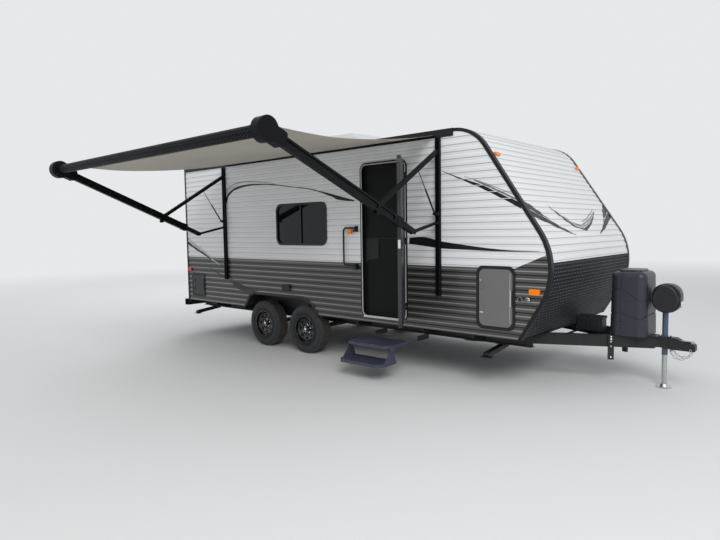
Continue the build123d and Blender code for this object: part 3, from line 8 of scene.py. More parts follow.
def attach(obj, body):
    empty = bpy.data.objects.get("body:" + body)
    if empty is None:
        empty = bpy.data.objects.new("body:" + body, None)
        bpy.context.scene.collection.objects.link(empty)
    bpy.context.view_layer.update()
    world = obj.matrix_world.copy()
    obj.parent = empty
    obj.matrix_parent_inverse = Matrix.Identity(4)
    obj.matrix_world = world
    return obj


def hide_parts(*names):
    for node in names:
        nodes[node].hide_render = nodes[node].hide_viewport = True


# Travel caravan on its wheels and tongue jack, in metres: +X to the hitch, +Y to the street side,
# +Z up. The sections below follow the caravan from the ground up, as it is put together.

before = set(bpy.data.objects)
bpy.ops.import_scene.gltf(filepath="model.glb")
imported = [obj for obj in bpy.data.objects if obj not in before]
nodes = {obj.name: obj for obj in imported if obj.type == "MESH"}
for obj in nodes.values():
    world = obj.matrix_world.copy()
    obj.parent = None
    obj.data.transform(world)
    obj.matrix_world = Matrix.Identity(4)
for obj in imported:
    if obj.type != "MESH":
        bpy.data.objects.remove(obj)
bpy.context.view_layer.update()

# Camera: at eye height off the front right corner, where the photo was taken from, with the lens
# and the three directions that were fitted to it.
camera_data = bpy.data.cameras.new("camera")
camera_data.lens = 28.495
camera_data.sensor_width = 36.0
camera_data.clip_end = 200.0
camera = bpy.data.objects.new("camera", camera_data)
bpy.context.scene.collection.objects.link(camera)
to_right = Vector((0.75085, 0.66031, -0.01493))
to_up = Vector((-0.03620, 0.06372, 0.99731))
to_back = Vector((0.65949, -0.74829, 0.07175))
camera.matrix_world = Matrix.Translation((1.515, -6.545, 1.709)) @ Matrix(
    (to_right, to_up, to_back)).transposed().to_4x4()
bpy.context.scene.camera = camera
bpy.context.scene.view_settings.view_transform = "Standard"


# Studio: a pale floor that fades into a pale background, an even light from all round and two
# broad soft lamps.
FLOOR_HALF = 60.0
FLOOR_DROP = 0.002
BACKDROP = (0.80, 0.81, 0.82, 1)


def add_node(tree, kind, inputs, **settings):
    """Shader node with its settings, and each input set to a number or linked to a socket."""
    made = tree.nodes.new("ShaderNode" + kind)
    for setting, value in settings.items():
        setattr(made, setting, value)
    for socket, value in inputs.items():
        if isinstance(value, bpy.types.NodeSocket):
            tree.links.new(value, made.inputs[socket])
        else:
            made.inputs[socket].default_value = value
    return made


def position(tree):
    """Where a spot lies on the part."""
    return add_node(tree, "TexCoord", {}).outputs["Object"]


def plain_finish(name, **constants):
    """Finish whose shader has only constants so far, given as words joined by low lines."""
    finish = bpy.data.materials.new(name)
    finish.use_nodes = True
    shader = finish.node_tree.nodes["Principled BSDF"]
    for words, value in constants.items():
        shader.inputs[words.replace("_", " ")].default_value = value
    return finish, finish.node_tree, shader


def studio_floor():
    mesh = bpy.data.meshes.new("studio_floor")
    corners = [(-1, -1), (1, -1), (1, 1), (-1, 1)]
    mesh.from_pydata([(x * FLOOR_HALF, y * FLOOR_HALF, -FLOOR_DROP) for x, y in corners], [], [(0, 1, 2, 3)])
    floor = bpy.data.objects.new("studio_floor", mesh)
    bpy.context.scene.collection.objects.link(floor)
    paper, tree, shader = plain_finish("studio_paper", Base_Color=(0.80, 0.80, 0.79, 1), Roughness=0.9,
                                       Specular_IOR_Level=0.1)
    haze = add_node(tree, "Emission", {"Color": BACKDROP})
    away = add_node(tree, "VectorMath", {0: position(tree)}, operation="LENGTH")
    fade = add_node(tree, "MapRange", {"Value": away.outputs["Value"], "From Min": 7.0, "From Max": 26.0},
                    interpolation_type="SMOOTHSTEP")
    blend = add_node(tree, "MixShader", {"Fac": fade.outputs["Result"], 1: shader.outputs["BSDF"],
                                         2: haze.outputs["Emission"]})
    tree.links.new(blend.outputs[0], tree.nodes["Material Output"].inputs["Surface"])
    mesh.materials.append(paper)


studio_floor()
sky = bpy.data.worlds.new("studio_light")
bpy.context.scene.world = sky
sky.use_nodes = True
sky_tree = sky.node_tree
even_light = sky_tree.nodes["Background"]
even_light.inputs["Color"].default_value = (0.92, 0.96, 1.0, 1)
even_light.inputs["Strength"].default_value = 0.62
backdrop = add_node(sky_tree, "Background", {"Color": BACKDROP, "Strength": 1.0})
ray = add_node(sky_tree, "LightPath", {}).outputs
straight = add_node(sky_tree, "Math", {0: ray["Is Camera Ray"], 1: ray["Is Transmission Ray"]},
                    operation="MAXIMUM")
seen = add_node(sky_tree, "Math", {0: straight.outputs[0], 1: ray["Is Glossy Ray"]}, operation="MAXIMUM")
split = add_node(sky_tree, "MixShader", {"Fac": seen.outputs[0], 1: even_light.outputs[0],
                                         2: backdrop.outputs[0]})
sky_tree.links.new(split.outputs[0], sky_tree.nodes["World Output"].inputs["Surface"])


def soft_lamp(name, place, target, size, power):
    lamp_data = bpy.data.lights.new(name, "AREA")
    lamp_data.shape = "DISK"
    lamp_data.size = size
    lamp_data.energy = power
    lamp = bpy.data.objects.new(name, lamp_data)
    lamp.location = place
    lamp.rotation_euler = (Vector(target) - Vector(place)).to_track_quat("-Z", "Y").to_euler()
    bpy.context.scene.collection.objects.link(lamp)


soft_lamp("lamp_front_right", (6.0, -9.0, 9.0), (-2.5, 0, 1.4), 7.0, 900)
soft_lamp("lamp_rear", (-13.0, 6.0, 8.0), (-4.0, 0, 1.4), 7.0, 380)


# Chassis: I-section rails, cross-members, the A-frame tongue and the bumper, welded steel sprayed
# satin black and dusty underneath, with the stabilizers hinged under the rails.
def colour_ramp(tree, value, stops):
    """Colour for a value, blended between stops given as spot and colour."""
    ramp = add_node(tree, "ValToRGB", {"Fac": value})
    elements = ramp.color_ramp.elements
    for spot, colour in stops:
        elements.new(spot).color = (*colour, 1)
    elements.remove(elements[-1])
    elements.remove(elements[0])
    return ramp.outputs["Color"]


def coat(name, colour, roughness, metallic=0.0, mottle=0.08, patch=0.5, grain=0.1, grain_size=0.002,
         gloss=0.0, shine=0.5):
    """Finish whose colour and gloss vary a little over the piece, with a fine grain in its surface."""
    finish, tree, shader = plain_finish(name, Metallic=metallic, Coat_Weight=gloss,
                                        Specular_IOR_Level=shine, Coat_Roughness=0.08)
    place = position(tree)
    cloud = add_node(tree, "TexNoise", {"Vector": place, "Scale": 1.0 / patch, "Detail": 5.0}).outputs["Fac"]
    dark = [c * (1 - mottle) for c in colour]
    light = [min(1.0, c * (1 + mottle)) for c in colour]
    tree.links.new(colour_ramp(tree, cloud, [(0.3, dark), (0.7, light)]), shader.inputs["Base Color"])
    rough = add_node(tree, "MapRange", {"Value": cloud, "To Min": max(0.03, roughness - 0.06),
                                        "To Max": min(1.0, roughness + 0.06)})
    tree.links.new(rough.outputs["Result"], shader.inputs["Roughness"])
    speck = add_node(tree, "TexNoise", {"Vector": place, "Scale": 1.0 / grain_size})
    relief = add_node(tree, "Bump", {"Strength": grain, "Distance": grain_size * 0.25,
                                     "Height": speck.outputs["Fac"]}, name="relief")
    tree.links.new(relief.outputs["Normal"], shader.inputs["Normal"])
    return finish


def dress(finish, *names):
    """Give CAD nodes their finish."""
    for name in names:
        mesh = nodes[name].data
        mesh.materials.clear()
        mesh.materials.append(finish)


def maths(tree):
    """Node arithmetic on one material: sockets or numbers in, one socket out."""
    def calc(kind, *values):
        return add_node(tree, "Math", dict(enumerate(values)), operation=kind).outputs[0]

    return calc


def paint_over(finish, colour, share=1.0, kind="MIX"):
    """Lay a colour over a finish's own, by a share and a kind of blend."""
    tree = finish.node_tree
    paint = tree.nodes["Principled BSDF"].inputs["Base Color"]
    mix = add_node(tree, "Mix", {"Factor": share, "A": paint.links[0].from_socket, "B": colour},
                   data_type="RGBA", blend_type=kind)
    tree.links.new(mix.outputs["Result"], paint)


def road_dust(finish, top, amount, tint=(0.26, 0.23, 0.19)):
    """Dust that thins out from the ground up to the height top."""
    tree = finish.node_tree
    place = position(tree)
    axes = add_node(tree, "SeparateXYZ", {"Vector": place})
    height = add_node(tree, "MapRange", {"Value": axes.outputs["Z"], "From Min": 0.0, "From Max": top,
                                         "To Min": amount, "To Max": 0.0})
    cloud = add_node(tree, "TexNoise", {"Vector": place, "Scale": 9.0, "Detail": 8.0})
    share = maths(tree)("MULTIPLY", height.outputs["Result"], cloud.outputs["Fac"])
    paint_over(finish, (*tint, 1), share)


chassis_black = coat("chassis_black", (0.012, 0.013, 0.015), 0.42, grain=0.2, grain_size=0.003, shine=0.3)
road_dust(chassis_black, 0.6, 0.25)
dress(chassis_black, "main_rails", "cross_members", "aframe_rails", "rail_brackets", "coupler",
      "rear_bumper")
stabilizer_black = coat("stabilizer_black", (0.016, 0.017, 0.018), 0.4, grain=0.2, shine=0.3)
dress(stabilizer_black, "stabilizer_front_left", "stabilizer_front_right", "stabilizer_rear_left",
      "stabilizer_rear_right")

# Axles and leaf springs: two painted steel tubes carried across the frame on leaf springs of dark
# spring steel, which has a bloom of rust.
axle_black = coat("axle_black", (0.022, 0.021, 0.020), 0.55, grain=0.3, shine=0.3)
road_dust(axle_black, 0.6, 0.7)
dress(axle_black, "axles")
spring_steel = coat("spring_steel", (0.07, 0.055, 0.045), 0.6, metallic=0.4, mottle=0.35, patch=0.05,
                    grain=0.35)
dress(spring_steel, "leaf_springs")

# Wheels: pressed steel rims in gloss black, each held on its hub by five bright cone nuts round a
# chromed grease cap.
rim_black = coat("rim_black", (0.006, 0.006, 0.007), 0.22, grain=0.03, gloss=0.7, shine=0.3)
nut_chrome = coat("nut_chrome", (0.75, 0.76, 0.78), 0.16, metallic=1.0, mottle=0.03, patch=0.02, grain=0.02)
WHEEL_PLACES = {
    # end and side: axle's x, middle of the tyre in y
    "rear_left": (-5.118, 1.0975),
    "rear_right": (-5.118, -1.0975),
    "front_left": (-4.243, 1.0975),
    "front_right": (-4.243, -1.0975),
}
WHEEL_Z = 0.3315        # height of the hubs, which is the radius of the tyres
NUT_CIRCLE = 0.057
NUT_COUNT = 5
NUT_PROFILE = [
    # radius, y
    (0.0145, -0.018), (0.0145, -0.022), (0.0115, -0.025), (0.0115, -0.040), (0.009, -0.043), (0, -0.044),
]
CAP_PROFILE = [
    # radius, y
    (0.027, -0.052), (0.027, -0.060), (0.023, -0.067), (0.023, -0.082), (0.018, -0.088), (0, -0.090),
]


def made_mesh(bm, name, outward=True):
    """Mesh from what bmesh has built, with its faces turned outward unless told not to."""
    if outward:
        bmesh.ops.recalc_face_normals(bm, faces=bm.faces)
    mesh = bpy.data.meshes.new(name)
    bm.to_mesh(mesh)
    bm.free()
    return mesh


def new_piece(name, mesh, body, *finishes):
    """Object from a mesh, with its finishes, that moves with a body."""
    piece = bpy.data.objects.new(name, mesh)
    bpy.context.scene.collection.objects.link(piece)
    for finish in finishes:
        mesh.materials.append(finish)
    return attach(piece, body)


def lathe(bm, profile, steps, place=Matrix.Identity(4)):
    """Turn (radius, y) points round the Y axis, then put the shape in its place."""
    rings = []
    for i in range(steps):
        turn = 2 * math.pi * i / steps
        ring = []
        for radius, y in profile:
            ring.append(bm.verts.new(place @ Vector((radius * math.cos(turn), y, radius * math.sin(turn)))))
        rings.append(ring)
    for i in range(steps):
        here, after = rings[i], rings[(i + 1) % steps]
        for j in range(len(profile) - 1):
            corners = [here[j], here[j + 1], after[j + 1], after[j]]
            if profile[j][0] == 0:
                corners.remove(after[j])
            elif profile[j + 1][0] == 0:
                corners.remove(after[j + 1])
            bm.faces.new(corners).smooth = True


def wheel_nuts():
    """Ring of cone nuts and the grease cap, outward along -Y from the disc."""
    bm = bmesh.new()
    for i in range(NUT_COUNT):
        turn = math.radians(90 + 360 / NUT_COUNT * i)
        seat = Matrix.Translation((NUT_CIRCLE * math.cos(turn), 0, NUT_CIRCLE * math.sin(turn)))
        lathe(bm, NUT_PROFILE, 6, seat)
    lathe(bm, CAP_PROFILE, 28)
    return made_mesh(bm, "wheel_nuts")


nuts_mesh = wheel_nuts()
nuts_mesh.materials.append(nut_chrome)
for place, (x, y) in WHEEL_PLACES.items():
    dress(rim_black, f"wheel_{place}")
    nuts = bpy.data.objects.new(f"nuts_{place}", nuts_mesh)
    bpy.context.scene.collection.objects.link(nuts)
    turn = 0.0 if y < 0 else math.pi
    nuts.matrix_world = Matrix.Translation((x, y, WHEEL_Z)) @ Matrix.Rotation(turn, 4, "Z")
    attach(nuts, f"{place}_wheel")

# Tyres: trailer tyres in black rubber, with a ribbed and siped tread, moulded rings on the
# sidewalls and dust from the road on the tread. Near the bead the rubber is darker, partly clean
# and partly painted shade, and the sidewall carries a painted bluish reflection.
tyre_rubber = coat("tyre_rubber", (0.070, 0.064, 0.054), 0.6, mottle=0.25, patch=0.05, grain=0.3,
                   grain_size=0.003, shine=0.3)
TYRE_SHADE_SHEEN_AND_DUST = [
    # radius, tint: darker at the bead, partly clean and partly painted shade; a painted bluish reflection on
    # the sidewall; brown with dust on the tread
    (0.205, (0.13, 0.145, 0.20)),
    (0.262, (0.51, 0.58, 0.81)),
    (0.320, (0.51, 0.58, 0.81)),
    (0.325, (1.0, 1.0, 1.0)),
]
rubber_tree = tyre_rubber.node_tree
from_hub = add_node(rubber_tree, "VectorMath", {0: position(rubber_tree), 1: (1 / WHEEL_Z, 0, 1 / WHEEL_Z)},
                    operation="MULTIPLY")
radius_share = add_node(rubber_tree, "VectorMath", {0: from_hub.outputs["Vector"]}, operation="LENGTH")
# Painted shade near the bead and a painted bluish reflection on the sidewall, with dust on the tread.
shade_sheen_and_dust = colour_ramp(rubber_tree, radius_share.outputs["Value"],
                   [(radius / WHEEL_Z, tint) for radius, tint in TYRE_SHADE_SHEEN_AND_DUST])
paint_over(tyre_rubber, shade_sheen_and_dust, kind="MULTIPLY")
TYRE_SIDE = [
    # radius, half width: from the bead out over the sidewall to the shoulder
    (0.1848, 0.0700), (0.1846, 0.0800), (0.1900, 0.0855), (0.1980, 0.0905), (0.2040, 0.0950),
    (0.2060, 0.0965), (0.2100, 0.0970), (0.2120, 0.0958), (0.2350, 0.0995), (0.2550, 0.1012),
    (0.2700, 0.1010), (0.2730, 0.1022), (0.2770, 0.1020), (0.2800, 0.1002), (0.2950, 0.0960),
    (0.3080, 0.0895), (0.3180, 0.0830), (0.3230, 0.0780),
]
TYRE_LINING = [
    # radius, half width: inside of the casing, from the bead up to the tread
    (0.1848, 0.0700), (0.195, 0.066), (0.230, 0.085), (0.285, 0.084), (0.305, 0.060),
]
TREAD_RIBS = [
    # middle, half width, blocks round the tyre, slant of the sipes
    (-0.0655, 0.0125, 72, 0.010),
    (-0.0340, 0.0120, 60, -0.012),
    (0.0, 0.0120, 60, 0.012),
    (0.0340, 0.0120, 60, -0.012),
    (0.0655, 0.0125, 72, 0.010),
]
TREAD_FLOOR = 0.3232
BLOCK_RADII = (0.3215, 0.3313)      # foot and top of the tread blocks
BLOCK_SHARE = 0.90
BLOCK_DRAFT = 0.0008


def tyre_mesh():
    bm = bmesh.new()
    outer = [(r, -w) for r, w in TYRE_SIDE] + [(TREAD_FLOOR, 0.0)] + [(r, w) for r, w in reversed(TYRE_SIDE)]
    lathe(bm, outer, 120)
    inner = TYRE_LINING + [(r, -w) for r, w in reversed(TYRE_LINING)]
    lathe(bm, inner, 60)
    for middle, half, count, slant in TREAD_RIBS:
        for i in range(count):
            first = 2 * math.pi * i / count
            last = first + 2 * math.pi / count * BLOCK_SHARE
            loops = [], []
            for level, radius in enumerate(BLOCK_RADII):
                draft = BLOCK_DRAFT * level
                for turn, y in ((first, middle - half + draft), (first, middle + half - draft),
                                (last, middle + half - draft), (last, middle - half + draft)):
                    lean = turn + slant * (y - middle) / half
                    loops[level].append(bm.verts.new((radius * math.cos(lean), y, radius * math.sin(lean))))
            base, top = loops
            bm.faces.new(top)
            for k in range(4):
                bm.faces.new((base[k], base[(k + 1) % 4], top[(k + 1) % 4], top[k]))
    mesh = made_mesh(bm, "tyre")
    mesh.materials.append(tyre_rubber)
    return mesh


tyre_shape = tyre_mesh()
for place, (x, y) in WHEEL_PLACES.items():
    tyre = bpy.data.objects.new(f"treaded_tyre_{place}", tyre_shape)
    bpy.context.scene.collection.objects.link(tyre)
    tyre.matrix_world = Matrix.Translation((x, y, WHEEL_Z))
    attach(tyre, f"{place}_wheel")
    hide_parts(f"tyre_{place}")

# Floor, walls and roof deck: a dark plywood floor, board walls that show through the door, and a
# roof deck with a pale membrane glued over it.
wall_board = coat("wall_board", (0.50, 0.44, 0.36), 0.6, mottle=0.06, grain=0.15)
floor_ply = coat("floor_ply", (0.03, 0.03, 0.032), 0.6, mottle=0.15, grain=0.3, shine=0.3)
roof_membrane = coat("roof_membrane", (0.74, 0.75, 0.74), 0.6, mottle=0.05, patch=0.9, grain=0.25,
                     grain_size=0.004)
dress(wall_board, "side_wall_right", "side_wall_left", "rear_wall", "front_wall")
dress(floor_ply, "floor_deck")
dress(roof_membrane, "roof_deck")

# Siding: thin aluminium sheet rolled into crests and grooves, white enamel above and charcoal
# below. A painted highlight runs along the top edge of each crest, with a painted shade line under
# it. Black rails run along the roof's edge above it.
RIB_PITCH = 0.0762
SIDING_LOW = 0.561
CROWN = (-1.572, 2.770)
CROWN_R = 0.457
SLOPE = (0.55368, -0.83272)
NOSE_R = 0.700
CROWN_END = 0.2450      # where the arcs of the crown and the nose meet the straight slope, measured
NOSE_START = 1.3256     # down the slope from the crown's corner
CROWN_LAG = 0.20475     # how much longer the crown's arc is, up to the slope, than the way down
FIRST_GROOVE = -0.1667  # middle of a groove of the front, measured the same way
FRONT_HALF = 1.19       # the front face lies within this of the middle, and ahead of FRONT_FROM
FRONT_FROM = -1.85
WHITE_RIB_LIGHT_AND_SHADE = [
    # phase of a rib, painted light and shade: it runs up from the middle of a crest, whose top edge is
    # near 0.25, to the next one's foot near 0.75
    (0.001, 0.95), (0.17, 0.96), (0.24, 1.0), (0.31, 0.92), (0.66, 0.90), (0.71, 0.62), (0.77, 0.60),
    (0.82, 0.93), (0.999, 0.95),
]
CHARCOAL_RIB_LIGHT_AND_SHADE = [
    # the same for the siding below
    (0.001, 0.28), (0.14, 0.32), (0.19, 1.0), (0.26, 1.0), (0.32, 0.24), (0.62, 0.20), (0.68, 0.03),
    (0.79, 0.03), (0.85, 0.25), (0.999, 0.28),
]


def painted_rib_light_and_shade(finish, stops):
    """Painted highlight and shade lines along the ribs: level on the sides and rear, and following the curve
    on the front.
    """
    tree = finish.node_tree
    calc = maths(tree)
    x, y, z = add_node(tree, "SeparateXYZ", {"Vector": position(tree)}).outputs
    from_x = calc("SUBTRACT", x, CROWN[0])
    from_z = calc("SUBTRACT", z, CROWN[1])
    down = calc("ADD", calc("MULTIPLY", from_x, SLOPE[0]), calc("MULTIPLY", from_z, SLOPE[1]))
    crown_turn = calc("ARCTAN2", calc("ADD", from_x, CROWN_END), calc("ADD", from_z, CROWN_R))
    crown_run = calc("SUBTRACT", calc("MULTIPLY", crown_turn, CROWN_R), CROWN_LAG)
    outward = calc("ADD", calc("MULTIPLY", from_x, -SLOPE[1]), calc("MULTIPLY", from_z, SLOPE[0]))
    nose_turn = calc("ARCTAN2", calc("SUBTRACT", down, NOSE_START), calc("ADD", outward, NOSE_R))
    nose_run = calc("ADD", calc("MULTIPLY", nose_turn, NOSE_R), NOSE_START)
    on_crown = calc("LESS_THAN", down, CROWN_END)
    on_nose = calc("GREATER_THAN", down, NOSE_START)
    on_slope = calc("SUBTRACT", calc("SUBTRACT", 1.0, on_crown), on_nose)
    curved = calc("ADD", calc("MULTIPLY", on_crown, crown_run), calc("MULTIPLY", on_nose, nose_run))
    run = calc("ADD", curved, calc("MULTIPLY", on_slope, down))
    front_phase = calc("DIVIDE", calc("SUBTRACT", FIRST_GROOVE, run), RIB_PITCH)
    side_phase = calc("DIVIDE", calc("SUBTRACT", z, SIDING_LOW + RIB_PITCH / 2), RIB_PITCH)
    on_front = calc("MULTIPLY", calc("LESS_THAN", calc("ABSOLUTE", y), FRONT_HALF),
                    calc("GREATER_THAN", x, FRONT_FROM))
    phase = calc("ADD", calc("MULTIPLY", front_phase, on_front),
                 calc("MULTIPLY", side_phase, calc("SUBTRACT", 1.0, on_front)))
    spot = calc("FRACT", calc("ADD", phase, 0.5))
    # Painted highlight along each crest's top edge and painted shade under it, multiplied into the colour.
    rib_light_and_shade = colour_ramp(tree, spot, [(stop, (value, value, value)) for stop, value in stops])
    paint_over(finish, rib_light_and_shade, kind="MULTIPLY")


white_siding = coat("white_siding", (0.84, 0.85, 0.86), 0.34, mottle=0.03, patch=1.2, grain=0.04, gloss=0.15)
painted_rib_light_and_shade(white_siding, WHITE_RIB_LIGHT_AND_SHADE)
charcoal_siding = coat("charcoal_siding", (0.30, 0.298, 0.288), 0.30, metallic=0.35, mottle=0.08, patch=1.2,
                       grain=0.04, gloss=0.1)
painted_rib_light_and_shade(charcoal_siding, CHARCOAL_RIB_LIGHT_AND_SHADE)
road_dust(charcoal_siding, 1.1, 0.10)
dress(white_siding, "siding_white")
dress(charcoal_siding, "siding_dark")
rail_black = coat("rail_black", (0.008, 0.009, 0.010), 0.36, mottle=0.06, grain=0.1, shine=0.25)
dress(rail_black, "roof_rails")

# Tread plate: black sheet over the lower front as a stone guard, rolled with raised lozenges that
# lean left and right in turn; their tops are lighter, partly rubbed and partly a painted highlight.
tread_black = coat("tread_black", (0.006, 0.007, 0.009), 0.55, mottle=0.1, grain=0.1, shine=0.12)
dress(tread_black, "rock_guard")
# The lozenges' lighter finish is partly wear and partly a painted highlight on their raised tops.
tread_top_wear_and_highlight = coat("tread_top_wear_and_highlight", (0.11, 0.115, 0.13), 0.42, mottle=0.25, patch=0.3, grain=0.1, shine=0.4)
NOSE_END = 2.1080       # where the nose's arc meets the straight tuck below it
TUCK = (-0.50626, -0.86238)
GUARD_RUN = (1.672, 2.515)
FIRST_ROW = 1.684
GUARD_HALF = 1.160
TREAD_CELL = (0.042, 0.0385)
TREAD_LEAN = math.radians(45)
LOZENGE = (0.0150, 0.0070, 0.0022)     # half length, half width, height
LOZENGE_RIDGE = 0.55    # the ridge's share of the length
LOZENGE_SEAT = 0.0004   # how deep its rim sits in the sheet


def front_spot(down, sink):
    """(x, z) on the front at a distance down the slope, carried on round the nose and its tuck."""
    turn = (min(NOSE_END, max(NOSE_START, down)) - NOSE_START) / NOSE_R
    run = min(down, NOSE_START)
    past = max(0.0, down - NOSE_END)
    out = (-SLOPE[1] * math.cos(turn) + SLOPE[0] * math.sin(turn),
           SLOPE[0] * math.cos(turn) + SLOPE[1] * math.sin(turn))
    centre_x = CROWN[0] + SLOPE[0] * run + SLOPE[1] * NOSE_R + TUCK[0] * past
    centre_z = CROWN[1] + SLOPE[1] * run - SLOPE[0] * NOSE_R + TUCK[1] * past
    return centre_x + out[0] * (NOSE_R - sink), centre_z + out[1] * (NOSE_R - sink)


def tread_lozenges():
    bm = bmesh.new()
    half_long, half_wide, height = LOZENGE
    ridge = half_long * LOZENGE_RIDGE
    outline = [(-half_long, 0, 0), (0, -half_wide, 0), (half_long, 0, 0), (0, half_wide, 0),
               (-ridge, 0, height), (ridge, 0, height)]
    columns = int(GUARD_HALF / TREAD_CELL[0])
    rows = int((GUARD_RUN[1] - GUARD_RUN[0]) / TREAD_CELL[1])
    for column in range(-columns, columns + 1):
        for row in range(rows + 1):
            lean = TREAD_LEAN if (row + column) % 2 else -TREAD_LEAN
            spots = []
            for along, across, rise in outline:
                y = column * TREAD_CELL[0] + along * math.cos(lean) - across * math.sin(lean)
                down = FIRST_ROW + row * TREAD_CELL[1] + along * math.sin(lean) + across * math.cos(lean)
                x, z = front_spot(down, LOZENGE_SEAT - rise)
                spots.append(bm.verts.new((x, y, z)))
            a, b, c, d, e, f = spots
            for corners in ((a, b, e), (b, c, f), (c, d, f), (d, a, e), (b, f, e), (d, e, f)):
                bm.faces.new(corners)
    return made_mesh(bm, "tread_lozenges")


new_piece("tread_lozenges", tread_lozenges(), "caravan", tread_top_wear_and_highlight)

# Edge trim: black insert moulding, a strip screwed over the corners of the body, where the sheets
# of the sides meet those of the front and rear.
trim_black = coat("trim_black", (0.008, 0.008, 0.010), 0.4, grain=0.15, shine=0.3)
dress(trim_black, "edge_trim")

# Stripes: cut vinyl film in black and greys, laid over the siding and pressed into its grooves, so
# each follows the folds of the sheet. The left side repeats those of the right.
vinyl_black = coat("vinyl_black", (0.008, 0.009, 0.012), 0.38, mottle=0.1, grain=0.05, shine=0.3)
vinyl_grey = coat("vinyl_grey", (0.16, 0.17, 0.18), 0.4, mottle=0.1, grain=0.05)
vinyl_pale = coat("vinyl_pale", (0.42, 0.43, 0.44), 0.4, mottle=0.1, grain=0.05)
vinyl_dusk = coat("vinyl_dusk", (0.035, 0.037, 0.034), 0.42, mottle=0.1, grain=0.05, shine=0.35)
SIDE_Y = 1.219
GROOVE = 0.044              # width of a groove, with its two sloping flanks
FLANK = 0.007
SIDE_LIFT = 0.0009          # how far the vinyl stands off the sheet
FRONT_LIFT = 0.0012
GROOVE_DEPTH = 0.005
TOP_GROOVE = 2.680          # the sides have no groove above this level
DOOR_STRIPE_X = -2.415      # where the low stripe starts behind the door's hinges
BED_WINDOW_END = -1.938     # and on the left, where it starts at the bed window's frame
